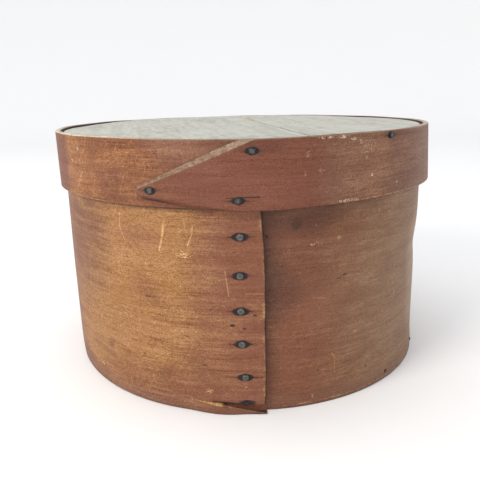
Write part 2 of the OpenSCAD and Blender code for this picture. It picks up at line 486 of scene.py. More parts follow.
@dataclass(kw_only=True)
class Hoop(ABC):
    """A bent strip, wound once round and lapped over itself, with the outer end of its lap first.

    A turn is the angle travelled from that end. The outer layer is lifted by its thickness and the gap, falls
    back on a smooth step, and the inner end is feathered so that it lies under the lap.
    """

    name: str
    node: str
    body: Body
    slot: str
    wind: Wind
    end_angle: float
    lap_full: float
    lap_fall: float
    inner_r: float
    thick: float
    low: float
    high: float
    gap: float = 0.2
    feather: float = 0.7
    corner: float = 0.6
    corner_share: float = 0.4
    skin: float = 0.1
    shift_share: float = 0.4
    closed_split: float = 0.1
    fine_turn: float = 34.0
    fine_step: float = 0.4
    coarse_step: float = 1.25
    end_stations: int = 5
    rows_below: int = 5
    rows_above: int = 44
    arc_points: int = 4

    @property
    def last_turn(self) -> float:
        """Turn of the inner end."""
        return FULL_TURN + self.lap_full + self.feather * self.lap_fall

    def stations(self) -> Array:
        """Turns at which the strip's section stands, close together along the lap.

        Returns:
            The turns, growing.
        """
        start = np.linspace(0.0, self.fine_step, self.end_stations)[:-1]
        fine = np.arange(self.fine_step, self.fine_turn, self.fine_step)
        coarse_count = int((self.last_turn - self.fine_turn) / self.coarse_step)
        return np.concatenate([start, fine, np.linspace(self.fine_turn, self.last_turn, coarse_count)])

    def angle_at(self, turn: Array) -> Array:
        """Angle from the front at a turn."""
        return self.end_angle + self.wind.value * turn

    def turn_at(self, angle: Array | float) -> Array | float:
        """Turn of the outermost layer at an angle from the front."""
        return (self.wind.value * (angle - self.end_angle)) % FULL_TURN

    def run_at(self, turn: Array | float) -> Array | float:
        """Length of strip from the outer end to a turn."""
        return np.radians(turn) * self.inner_r

    def lift(self, turn: Array) -> Array:
        """Lift of the lap: thickness and gap, times one less a smooth step over the fall."""
        return (self.thick + self.gap) * (1.0 - smooth((turn - self.lap_full) / self.lap_fall))

    def seat(self, angle: Array) -> Array:
        """Radius on which the inner layer is bent."""
        return np.full_like(angle, self.inner_r)

    def inner(self, turn: Array) -> Array:
        """Inner radius at a turn."""
        return self.seat(self.angle_at(turn)) + self.lift(turn)

    def thickness(self, turn: Array) -> Array:
        """Thickness at a turn, thinned to a feather under the lap."""
        under = self.lift(turn - FULL_TURN) - self.gap
        return np.where(turn > FULL_TURN + self.lap_full, under, self.thick)

    def outer_at(self, angle: Array) -> Array:
        """Outside radius at an angle from the front."""
        turn = self.turn_at(angle)
        return self.inner(turn) + self.thickness(turn)

    def strip_place(self, angle: float, height: float) -> Array:
        """Place on the strip, in metres; an angle past half a turn is on the layer under the lap."""
        turn = self.turn_at(angle) + FULL_TURN * (angle > HALF_TURN)
        return np.array([self.run_at(turn), height]) * MM

    def edges(self, turn: Array) -> dict[str, Array]:
        """Heights of the strip's edges: low and high, each outside and inside."""
        low, high = np.full_like(turn, self.low), np.full_like(turn, self.high)
        return {"low_out": low, "low_in": low, "high_out": high, "high_in": high}

    def split(self, turn: Array) -> dict[str, Array]:
        """A closed split: lips at one height, with no depth and no bow.

        Args:
            turn: Turns along the strip.

        Returns:
            Heights of the lips, depth of the split, bow, drop of its floor and thickness of the blade.
        """
        lip = np.full_like(turn, self.low + self.closed_split * (self.high - self.low))
        none = np.zeros_like(turn)
        return {"low": lip, "high": lip, "depth": none, "bow": none, "drop": none, "blade": none}

    def end_shift(self, height: Array) -> Array:
        """How far the outer end lies back at a height, as a turn."""
        return np.zeros_like(height)

    @abstractmethod
    def uneven(self, angle: Array, height: Array) -> Array:
        """Small swell of the wall at an angle and a height."""

    def end_thinning(self, turn: Array) -> Array:
        """Depth by which the outer end's face is rounded off, on a quarter circle."""
        return self.corner * (1.0 - rounding(self.run_at(turn), self.corner))

    def section(self, turn: Array) -> tuple[Array, ...]:
        """Rounded section at each turn: outer face up, over the top, inner face down and back.

        Args:
            turn: Turns at which the section stands.

        Returns:
            Radius, height, side (1 outside, 0 inside), way past the nearest edge, depth in the split, and
            heights of the lower and the upper outer edge, by turn and by point of the section.
        """
        edge = {key: value[:, None] for key, value in self.edges(turn).items()}
        split = {key: value[:, None] for key, value in self.split(turn).items()}
        low_out, low_in = edge["low_out"], edge["low_in"]
        high_out, high_in = edge["high_out"], edge["high_in"]
        bow, drop, blade = (split[key] for key in ("bow", "drop", "blade"))
        inside = self.inner(turn)[:, None]
        outside = inside + (self.thickness(turn) - self.end_thinning(turn))[:, None]
        corner = np.minimum(self.corner, self.corner_share * np.minimum(high_out - low_out, outside - inside))
        lip_low = np.maximum(split["low"], low_out + corner)
        lip_high = np.maximum(split["high"], lip_low)
        depth = np.minimum(split["depth"], np.maximum(outside - inside - self.skin, 0.0))
        parted = depth > 0.0
        shelf = lip_low - (lip_low - low_out - 0.5 * corner) * drop
        bow_in = bow * (1.0 - drop)
        shelf_in = np.maximum(shelf, low_in + corner)
        below = np.linspace(0.0, 1.0, self.rows_below)[None, :]
        above = np.linspace(0.0, 1.0, self.rows_above)[None, :]
        arc = np.radians(np.linspace(0.0, 90.0, self.arc_points + 2))[None, 1:-1]
        sine_left, cosine_left = corner * (1.0 - np.sin(arc)), corner * (1.0 - np.cos(arc))
        level, over, far = 0.0 * above, corner * arc, OVER_EDGE_MM + 0.0 * arc
        runs = [
            (outside + bow, low_out + corner + below * (lip_low - low_out - corner), 1.0, 0.0, 0.0),
            (outside + bow - blade, lip_low, 1.0, 0.0, LIP * parted),
            (outside + bow - blade, shelf, 1.0, 0.0, GAP * parted),
            (outside + bow_in - depth, shelf, 1.0, 0.0, LEDGE * parted),
            (outside - depth, lip_high, 1.0, 0.0, BACK * parted),
            (outside + level, lip_high + above * (high_out - corner - lip_high), 1.0, 0.0, 0.0),
            (outside - cosine_left, high_out - sine_left, 0.5, over, 0.0),
            (inside + sine_left, high_in - cosine_left, 0.5, far, 0.0),
            (inside + level, high_in - corner - above * (high_in - corner - lip_high), 0.0, 0.0, 0.0),
            (inside + bow_in, shelf_in - below * (shelf_in - low_in - corner), 0.0, 0.0, 0.0),
            (inside + bow_in + cosine_left, low_in + sine_left, 0.5, far, 0.0),
            (outside + bow - sine_left, low_out + cosine_left, 0.5, over, 0.0),
        ]
        whole = [np.broadcast_arrays(*run) for run in runs]
        return *(np.concatenate(parts, axis=1) for parts in zip(*whole)), low_out, high_out

    def build(self) -> Piece:
        """Carries the section along the strip and keeps on each point where it lies on the strip.

        Returns:
            The hoop's object.
        """
        turn = self.stations()
        radius, height, side, past, pocket, low_out, high_out = self.section(turn)
        taper = 1.0 - smooth(turn / (self.shift_share * self.lap_full))
        turns = turn[:, None] + self.end_shift(height) * taper[:, None]
        angle = self.angle_at(turns)
        points = wall_points(radius + self.uneven(angle, height), angle, height)
        run = self.run_at(turns)
        near = np.stack([height - low_out - past, high_out - height - past, run - run[0:1, :]], axis=-1)
        near = np.where(side[..., None] > 0.0, near, FAR_MM)
        strip = np.stack([run * MM, height * MM, side], axis=-1)
        rows, columns = radius.shape
        ring = list(range(columns))
        faces = grid_faces(rows, columns, closed=True).tolist()
        faces += [ring, [(rows - 1) * columns + number for number in ring]]
        piece = put_mesh(self.name, points.reshape(-1, 3), faces,
                         {STRIP: strip.reshape(-1, 3), EDGE: near.reshape(-1, 3), POCKET: pocket.ravel()})
        return place_piece(piece, self.node, self.body)


@dataclass(kw_only=True)
class BodyHoop(Hoop):
    """The body's hoop: narrow at the foot, dented at the right, with a split along the foot of its lap."""

    name: str = "body_hoop_bent"
    node: str = "body_hoop"
    body: Body = Body.BOX
    slot: str = "body_wood"
    wind: Wind = Wind.LEFT
    end_angle: float = 5.2
    lap_full: float = 20.0
    lap_fall: float = 47.0
    inner_r: float = 0.5 * BODY_DIAMETER - BODY_WALL
    thick: float = BODY_WALL
    low: float = 0.0
    split_root: float = 24.3
    split_depth: float = 2.7
    mouth_share: float = 0.12
    lip_height: float = 5.6
    lip_climb: float = 1.85
    lip_share: float = 0.8
    sliver_fall: float = 3.5
    sliver_power: float = 2.6
    tip_fall: float = 1.7
    tip_turn: float = 11.0
    tip_reach: float = 0.2
    tip_height: float = 4.5
    belly: float = 0.6
    belly_turn: float = 12.5
    belly_width: float = 5.0
    bow_most: float = 2.2
    bow_turn: float = 11.5
    bow_width: float = 7.0
    bow_share: float = 0.3
    tip_bow: float = 1.1
    floor_turn: float = 3.0
    floor_run: float = 9.0
    blade_least: float = 0.5
    blade_gain: float = 2.2
    blade_turn: float = 6.0
    blade_run: float = 7.0
    top_wave: Waves = ((71.0, 0.10, 0.4), (23.0, 0.08, 1.9))
    top_drop: float = 0.2
    end_lean: float = 1.25
    lean_from: float = 84.0
    lean_run: float = 40.0
    end_notch: float = 0.35
    end_back: float = 0.1
    end_wave: Waves = ((41.0, 0.07, 0.5), (17.0, 0.05, 2.0), (6.3, 0.03, 4.0))
    dent_depth: float = 0.85
    dent_height: float = 71.5
    waist_depth: float = 1.05
    lid_from: float = 112.0

    def split(self, turn: Array) -> dict[str, Array]:
        """The split at the lap's foot: two lips that part towards the end, and a splinter bowed outwards.

        Towards its end the splinter thins to a blade, and the floor of the split behind it drops to the foot.

        Args:
            turn: Turns along the strip.

        Returns:
            Heights of the lips, depth of the split, bow, drop of its floor and thickness of the blade.
        """
        opened = np.clip(1.0 - turn / self.split_root, 0.0, 1.0)
        upper = self.lip_height + self.lip_climb * (1.0 - smooth(opened / self.lip_share))
        lower = (upper - self.sliver_fall * opened ** self.sliver_power
                 - self.tip_fall * (1.0 - smooth(turn / self.tip_turn))
                 - self.belly * hump(turn, self.belly_turn, self.belly_width))
        depth = self.split_depth * smooth(opened / self.mouth_share)
        bow = (self.bow_most * hump(turn, self.bow_turn, self.bow_width)
               + self.tip_bow * (1.0 - smooth(turn / self.bow_width))) * smooth(opened / self.bow_share)
        drop = 1.0 - smooth((turn - self.floor_turn) / self.floor_run)
        thickening = self.blade_gain * smooth((turn - self.blade_turn) / self.blade_run)
        blade = np.minimum(depth, self.blade_least + thickening)
        return {"low": lower, "high": upper, "depth": depth, "bow": bow, "drop": drop, "blade": blade}

    def edges(self, turn: Array) -> dict[str, Array]:
        """Edges of the body: level, with a slight wave along the top."""
        wave = ripple(turn, self.top_wave) - self.top_drop
        return {key: part + wave * key.startswith("high") for key, part in super().edges(turn).items()}

    def end_shift(self, height: Array) -> Array:
        """The lap's end leans back towards the top and is a little ragged, and the splinter runs past it.

        Args:
            height: Heights on the end.

        Returns:
            How far the end lies back, as a turn.
        """
        lean = self.end_lean * smooth((height - self.lean_from) / self.lean_run)
        notch = self.end_notch * hump(height, 7.0, 2.0)
        tip = self.tip_reach * smooth((self.tip_height - height) / 2.0)
        return lean + notch + ripple(height, self.end_wave) + self.end_back - tip

    def uneven(self, angle: Array, height: Array) -> Array:
        """The left wall draws in towards the foot, and the right wall has a long dent below its rim.

        Args:
            angle: Angles from the front.
            height: Heights.

        Returns:
            The swell outwards.
        """
        sine = np.sin(np.radians(angle))
        side = wrapped(angle)
        drawn_in, foot = (np.clip(1.0 - height / reach, 0.0, 1.0) for reach in (65.0, 14.0))
        left = 0.25 - drawn_in - 0.8 * foot ** 2
        dent = self.dent_depth * hump(height, self.dent_height, 8.5) * hump(side, 80.0, 40.0)
        waist = self.waist_depth * smooth((96.0 - height) / 22.0) - 0.75 * smooth((16.0 - height) / 14.0)
        right = 0.35 - waist * hump(side, 90.0, 55.0) - dent - 0.5 * (1.0 - smooth(sine / 0.6))
        share = smooth((sine + 0.25) / 0.5)
        under_lid = smooth((height - self.lid_from) / 12.0)
        return (left + (right - left) * share) * (1.0 - under_lid) + 0.1 * under_lid


@dataclass(kw_only=True)
class LidHoop(Hoop):
    """The lid's hoop: it swells over the body's lap, and its own lap ends in a bevelled, pointed finger."""

    name: str = "lid_hoop_bent"
    node: str = "lid_hoop"
    body: Body = Body.LID
    slot: str = "lid_wood"
    wind: Wind = Wind.RIGHT
    end_angle: float = -25.6
    lap_full: float = 34.6
    lap_fall: float = 41.0
    thick: float = 3.0
    corner: float = 0.45
    under: Hoop
    cover_margin: float = 3.0
    cover_ease: float = 42.0
    finger_head: float = 3.0
    finger_heel: float = 4.0
    tip_low: float = 6.3
    tip_high: float = 8.5
    tip_round: float = 1.7
    tip_least: float = 0.2
    tip_thinned: float = 6.0
    thinned_share: float = 0.8
    bevel_rise: float = 2.7
    bevel_widening: float = 0.6
    heel_bevel: float = 2.0
    rim_dip: float = 0.75
    foot_dip: float = 0.8
    rim_wave: Waves = ((83.0, 0.12, 0.3), (29.0, 0.08, 1.0))
    foot_wave: Waves = ((67.0, 0.12, 2.0),)

    def seat(self, angle: Array) -> Array:
        """Inner radius, swollen where the body's lap lies under it.

        Args:
            angle: Angles from the front.

        Returns:
            The radius: the plain one and the height of the body's lap, times the lower of two smooth steps.
        """
        under, side = self.under, wrapped(angle)
        left = 1.0 - smooth((under.end_angle - side - under.lap_full) / under.lap_fall)
        right = 1.0 - smooth((side - under.end_angle - self.cover_margin) / self.cover_ease)
        return self.inner_r + (under.thick + under.gap) * np.minimum(left, right)

    def edges(self, turn: Array) -> dict[str, Array]:
        """Edges of the lid: a long bevelled slope above the finger, a short one below, and a rounded tip.

        Args:
            turn: Turns along the strip.

        Returns:
            Heights of the edges: low and high, each outside and inside.
        """
        angle = self.angle_at(turn)
        side = wrapped(angle)
        across = np.sin(np.radians(angle)) * (self.inner(turn) + self.thick)
        on_lap = turn < HALF_TURN
        head, heel = (float(np.interp(end, angle[on_lap], across[on_lap])) - across[0]
                      for end in (self.finger_head, -self.finger_heel))
        from_tip = across - across[0]
        top = self.high - self.rim_dip * hump(side, -2.0, 15.0) + ripple(turn, self.rim_wave)
        bottom = self.low - self.foot_dip * hump(side, 5.0, 8.0) * on_lap + ripple(turn, self.foot_wave)
        rise = (self.high - self.low - self.tip_high) / head
        slope = np.where(on_lap, self.low + self.tip_high + rise * from_tip, np.inf)
        under = np.where(on_lap, self.low + self.tip_low - self.tip_low / heel * from_tip, -np.inf)
        widening = np.clip(from_tip / (self.bevel_widening * head), 0.0, 1.0)
        shapes = {"low_out": np.maximum(bottom, under), "low_in": np.maximum(bottom, under - self.heel_bevel),
                  "high_out": np.minimum(top, slope),
                  "high_in": np.minimum(top, slope + self.bevel_rise * (0.5 + 0.5 * widening))}
        opened = np.maximum(rounding(self.run_at(turn), self.tip_round), self.tip_least)
        middle = 0.5 * (shapes["low_out"] + shapes["high_out"])
        return {key: middle + (part - middle) * opened for key, part in shapes.items()}

    def uneven(self, angle: Array, height: Array) -> Array:
        """The right wall leans out towards its lower edge, and the left wall leans in.

        Args:
            angle: Angles from the front.
            height: Heights.

        Returns:
            The swell outwards.
        """
        sine = np.sin(np.radians(angle))
        rise = np.clip((height - self.low) / (self.high - self.low), 0.0, 1.1)
        right = np.clip(sine, 0.0, 1.0) ** 2 * (1.15 - 1.75 * rise)
        left = np.clip(-sine, 0.0, 1.0) ** 2 * (0.6 * rise - 0.6)
        return right + left

    def end_thinning(self, turn: Array) -> Array:
        """The finger's tip is shaved thin over its first few millimetres."""
        run = np.clip(self.run_at(turn) / self.tip_thinned, 0.0, 1.0)
        return self.thinned_share * self.thick * (1.0 - run) ** 1.3


@dataclass(kw_only=True)
class Board:
    """A round board with rounded edges inside a hoop, on a grid of lines along its grain.

    A grid column is a chord along the grain at minus the cosine of an even angle, so the edge has even steps.
    """

    name: str
    node: str
    slot: str
    hoop: Hoop
    low: float
    high: float
    lean: float
    fit: float = 0.3
    corner: float = 0.8
    columns: int = 97
    rows: int = 65
    arc_points: int = 4

    def outline(self, angle: Array) -> Array:
        """Radius of the board's edge at an angle: the inside of its hoop, less the fit."""
        ends = [self.hoop.uneven(angle, np.full_like(angle, height)) for height in (self.low, self.high)]
        return self.hoop.seat(angle) + np.minimum(*ends) - self.fit

    def column_shares(self) -> Array:
        """Places of the columns across the grain, from -1 to 1."""
        return -np.cos(np.linspace(0.0, np.pi, self.columns))

    def opening(self, along: Array) -> Array:
        """Width of the crack at places along the grain."""
        return np.zeros_like(along)

    def crack_sway(self, along: Array) -> Array:
        """How far the crack strays from its column at places along the grain."""
        return np.zeros_like(along)

    def crack_column(self) -> int:
        """Number of the column that the crack follows, or 0 for none."""
        return 0

    def warp(self, across: Array, along: Array) -> Array:
        """How far the upper face is raised at places across and along the grain."""
        return np.zeros_like(across)

    def sheet(self, inset: float, height: float, raised: bool) -> Array:
        """Grid of points over the board, with its edge drawn in.

        Args:
            inset: Distance that the edge is drawn in.
            height: Height of the sheet.
            raised: Whether the sheet follows the warp of the upper face.

        Returns:
            Points by row along the grain and column across it, with the crack's column twice.
        """
        share = self.column_shares()
        crack = self.crack_column()
        if crack:
            share = np.insert(share, crack, share[crack])
        chord = np.sqrt(np.maximum(1.0 - share ** 2, 0.0))
        along = np.linspace(-1.0, 1.0, self.rows)[:, None] * chord[None, :]
        across = np.broadcast_to(share[None, :], along.shape)
        x, y = turned(across, along, -self.lean)
        reach = self.outline(np.degrees(np.arctan2(x, -y))) - inset
        across, along = across * reach, along * reach
        if crack:
            half = 0.5 * self.opening(along[:, crack])
            across[:, crack:crack + 2] += self.crack_sway(along[:, crack])[:, None]
            across[:, crack] -= half
            across[:, crack + 1] += half
        heights = height + (self.warp(across, along) if raised else 0.0 * across)
        return np.stack([*turned(across, along, -self.lean), heights], axis=-1)

    def build(self) -> Piece:
        """Joins the top sheet, rings down the rounded edge and the bottom sheet into one closed board.

        Returns:
            The board's object.
        """
        arc = np.radians(np.linspace(0.0, 90.0, self.arc_points))
        drawn = [(self.corner * (1.0 - math.sin(bend)), self.corner * (1.0 - math.cos(bend))) for bend in arc]
        top = [self.sheet(sine, self.high - cosine, True) for sine, cosine in drawn]
        bottom = [self.sheet(cosine, self.low + sine, False) for sine, cosine in drawn]
        sheets = np.stack(top + bottom)
        layers, rows, columns, _ = sheets.shape
        number = np.arange(layers * rows * columns).reshape(layers, rows, columns)
        crack = self.crack_column()
        quads = grid_faces(rows, columns, closed=False)
        solid = quads[quads[:, 0] % columns != crack] if crack else quads
        kept = [solid, solid + number[-1, 0, 0]]
        for row in (0, rows - 1):
            ring = number[:, row, :]
            wall = np.stack([ring[:-1, :-1], ring[:-1, 1:], ring[1:, 1:], ring[1:, :-1]], axis=-1)
            kept.append((np.delete(wall, crack, axis=1) if crack else wall).reshape(-1, 4))
        faces = np.concatenate(kept).tolist()
        if crack:
            faces += self.crack_walls(number, crack, sheets[0, :, crack, :])
        piece = put_mesh(self.name, sheets.reshape(-1, 3), faces, {CRACK: self.crack_mark(sheets).ravel()})
        return place_piece(piece, self.node, self.hoop.body)

    def crack_mark(self, sheets: Array) -> Array:
        """Distance of each point from the open crack, across the grain, and far away where it is closed.

        Args:
            sheets: Points by layer, row and column.

        Returns:
            The distances.
        """
        crack = self.crack_column()
        if not crack:
            return np.full(sheets.shape[:-1], FAR_MM)
        across, along = turned(sheets[..., 0], sheets[..., 1], self.lean)
        lips = np.abs(across[..., None] - across[..., crack:crack + 2][..., None, :])
        closed = self.opening(along) <= 0.0
        return np.minimum(np.min(lips, axis=-1) + FAR_MM * closed, FAR_MM)

    def crack_walls(self, number: Array, crack: int, lip: Array) -> list[list[int]]:
        """Walls of the crack, from the front edge to where it closes.

        Args:
            number: Point numbers by layer, row and column.
            crack: Column of the crack's left lip.
            lip: Points of the left lip on the top sheet.

        Returns:
            Point numbers of each wall face.
        """
        _, along = turned(lip[:, 0], lip[:, 1], self.lean)
        run = np.arange(1, int(np.argmin(self.opening(along) > 0.0)))
        faces: list[list[int]] = []
        for column in (crack, crack + 1):
            top, bottom = number[0, :, column], number[-1, :, column]
            front = number[::-1, 0, column].tolist()[:-1]
            faces.append([int(top[0]), int(top[1]), int(bottom[1])] + front)
            faces += np.stack([top[run], top[run + 1], bottom[run + 1], bottom[run]], axis=-1).tolist()
        return faces


@dataclass(kw_only=True)
class LidBoard(Board):
    """The lid's board: shrunk across the grain, cracked along it, low at the left and proud at the back."""

    shrink: float = 1.5
    crack_place: float = 0.145
    crack_width: float = 0.9
    crack_back: float = 78.0
    crack_run: float = 2.4
    crack_wave: Waves = ((57.0, 0.5, 0.4), (23.0, 0.3, 1.0), (9.0, 0.12, 2.0))
    grain_wave: Waves = ((37.0, 0.05, 0.3), (14.0, 0.03, 2.2))
    back_rise: float = 0.75
    left_drop: float = 0.4

    def outline(self, angle: Array) -> Array:
        """Inside of the hoop less the fit, and less the shrinkage to the left and right."""
        return super().outline(angle) - self.shrink * np.sin(np.radians(angle)) ** 2

    def crack_column(self) -> int:
        """Column nearest to the crack."""
        return int(np.argmin(np.abs(self.column_shares() - self.crack_place)))

    def opening(self, along: Array) -> Array:
        """Crack width: full at the front, falling evenly to nothing at its back end."""
        share = np.clip((self.crack_back - along) / (self.crack_run * self.crack_back), 0.0, 1.0)
        return self.crack_width * share ** 0.7

    def crack_sway(self, along: Array) -> Array:
        """Waves of the crack, still at the front edge."""
        inside = smooth((along + 108.0) / 20.0)
        return inside * ripple(along, self.crack_wave)

    def warp(self, across: Array, along: Array) -> Array:
        """Slow waves across the grain, with the left edge low and the back edge flush with the hoop.

        Args:
            across: Places across the grain.
            along: Places along the grain.

        Returns:
            The rise of the upper face.
        """
        middle = 1.0 - smooth((np.abs(across + 5.0) - 72.0) / 38.0)
        back = self.back_rise * smooth((along + 10.0) / 90.0) * middle
        return ripple(across, self.grain_wave) + back - self.left_drop * smooth((-across - 70.0) / 35.0)


@dataclass(kw_only=True)
class NailSet:
    """Nails of one kind: hammered heads on a hoop's outside, with shanks through the wood.

    A head is a grid of rings and spokes, its height falling from the crown as one less the radius to a power.
    A shank is a square carried along its path, tapered to the tip, and bent down where it is clenched.
    """

    node: str
    hoop: Hoop
    places: Nails
    slot: str = "nail_iron"
    head_r: float = 2.0
    head_h: float = 0.62
    worn: float = 1.0
    shank: float = 1.5
    bury: float = 0.3
    clench: float = 4.0
    clench_t: float = 0.4
    bend_r: float = 0.7
    bend_points: int = 6
    rings: int = 10
    spokes: int = 28

    def frames(self) -> tuple[Array, Array, Array]:
        """Seat and directions of each nail, square to the wall by its climb over a degree on each side.

        Returns:
            The seats, the outward directions and the sideways directions.
        """
        angles = np.array([place.angle for place in self.places])
        heights = np.array([place.height for place in self.places])
        radii = self.hoop.outer_at(angles)
        climb = self.hoop.outer_at(angles + 1.0) - self.hoop.outer_at(angles - 1.0)
        tilt = np.degrees(np.arctan(climb / (2.0 * np.radians(1.0) * radii)))
        seats = wall_points(radii + self.hoop.uneven(angles, heights), angles, heights)
        outward = wall_points(np.ones_like(angles), angles - tilt, np.zeros_like(angles))
        sideways = np.stack([-outward[:, 1], outward[:, 0], 0.0 * angles], axis=-1)
        return seats, outward, sideways

    def heads(self) -> tuple[Array, Array, list[list[int]]]:
        """All the heads: uneven discs, domed and dimpled, each closed by a flat underside.

        Returns:
            Points, crown marks and faces.
        """
        seats, outward, sideways = (part[:, None, None, :] for part in self.frames())
        count, size = len(self.places), self.rings * self.spokes
        phase = np.arange(count)[:, None, None] * 2.4 + self.head_r
        ring = np.concatenate([np.linspace(0.0, 1.0, self.rings - 1), [1.0]])[None, :, None]
        spoke = np.linspace(0.0, 2.0 * np.pi, self.spokes, endpoint=False)[None, None, :]
        rough = 0.05 * np.sin(3.0 * spoke + phase) + 0.05 * np.cos(4.0 * spoke - 1.7 * phase)
        reach = self.head_r * ring * (1.0 + rough * ring + 0.03 * np.cos(phase))
        dimple = 0.18 * np.sin(3.0 * spoke + 1.3 * phase) * ring * (1.0 - ring ** 3)
        rise = self.head_h * (0.4 + 0.6 * (1.0 - ring ** 3.5) + dimple)
        rise = rise * (np.arange(self.rings) < self.rings - 1)[None, :, None] + 0.02
        side, up, out = np.broadcast_arrays(reach * np.cos(spoke), reach * np.sin(spoke), rise)
        points = seats + side[..., None] * sideways + out[..., None] * outward + up[..., None] * UPWARD
        crown = np.broadcast_to((1.0 - ring) * self.worn, side.shape)
        first = np.arange(count)[:, None, None] * size
        faces = (grid_faces(self.rings, self.spokes, closed=True)[None] + first).reshape(-1, 4).tolist()
        faces += (np.arange(size - self.spokes, size)[None, :] + first[:, 0]).tolist()
        return points.reshape(-1, 3), crown.ravel(), faces

    def shank_path(self, place: NailPlace) -> tuple[Array, Array, Array]:
        """Path of a shank: inwards from the head and, where it is clenched, round a quarter turn and down.

        Args:
            place: The nail.

        Returns:
            Distances outwards and upwards along the path, and half the shank's side at each.
        """
        half = 0.5 * self.shank
        if not place.clenched:
            run = np.linspace(self.bury, -place.reach, 5)
            taper = np.interp(run, [-place.reach, -0.6 * place.reach, self.bury], [0.18, 0.8, 1.0])
            return run, 0.0 * run, half * taper
        bend = np.radians(np.linspace(0.0, 90.0, self.bend_points))
        inside = -place.reach - 0.5 * self.clench_t
        out = np.concatenate([[self.bury], inside + self.bend_r * (1.0 - np.sin(bend)), [inside] * 2])
        up = np.concatenate([[0.0], -self.bend_r * (1.0 - np.cos(bend)), [-0.6 * self.clench, -self.clench]])
        taper = np.concatenate([[1.0], np.linspace(0.9, 0.55, self.bend_points), [0.42, 0.12]])
        return out, up, half * taper

    def shanks(self, first: int) -> tuple[Array, list[list[int]]]:
        """Points and faces of all the shanks.

        Args:
            first: Number of the first point.

        Returns:
            The points, and the point numbers of each face.
        """
        signs = np.array([(1.0, 1.0), (-1.0, 1.0), (-1.0, -1.0), (1.0, -1.0)])
        points: list[Array] = []
        faces: list[list[int]] = []
        start = first
        for place, seat, out_dir, side_dir in zip(self.places, *self.frames()):
            out, up, half = self.shank_path(place)
            course = np.stack([np.gradient(out), np.gradient(up)], axis=-1)
            course = course / np.linalg.norm(course, axis=1, keepdims=True)
            across = course[:, 1:2] * out_dir - course[:, 0:1] * UPWARD
            centre = seat + out[:, None] * out_dir + up[:, None] * UPWARD
            square = (centre[:, None, :] + half[:, None, None] * signs[None, :, 0:1] * across[:, None, :]
                      + half[:, None, None] * signs[None, :, 1:2] * side_dir[None, None, :])
            faces += (grid_faces(len(out), 4, closed=True) + start).tolist()
            faces += [[end + k for k in range(4)] for end in (start, start + 4 * (len(out) - 1))]
            points.append(square.reshape(-1, 3))
            start += 4 * len(out)
        return np.concatenate(points), faces

    def build(self) -> Piece:
        """Joins heads and shanks into one piece.

        Returns:
            The nails' object.
        """
        heads, crown, faces = self.heads()
        shanks, shank_faces = self.shanks(len(heads))
        piece = put_mesh(self.node + "_forged", np.concatenate([heads, shanks]), faces + shank_faces,
                         {CROWN: np.concatenate([crown, np.zeros(len(shanks))])})
        return place_piece(piece, self.node, self.hoop.body)


class HoopGrain(Enum):
    """Layers of noise in bent wood, along the strip and up it."""

    BAND = Grain(9.0, 170.0, 0.0)
    STREAK = Grain(20.0, 620.0, 7.0, 4.0, 0.62)
    FIBRE = Grain(60.0, 1500.0, 2.0)
    DASH = Grain(130.0, 1300.0, 5.0, 1.0)
    CLOUD = Grain(20.0, 34.0, 8.0, 3.0, 0.55)
    MOTTLE = Grain(55.0, 110.0, 1.0, 4.0, 0.62)
    SPECK = Grain(420.0, 620.0, 3.0)
    GRIT = Grain(1300.0, 1700.0, 4.0, 1.0)


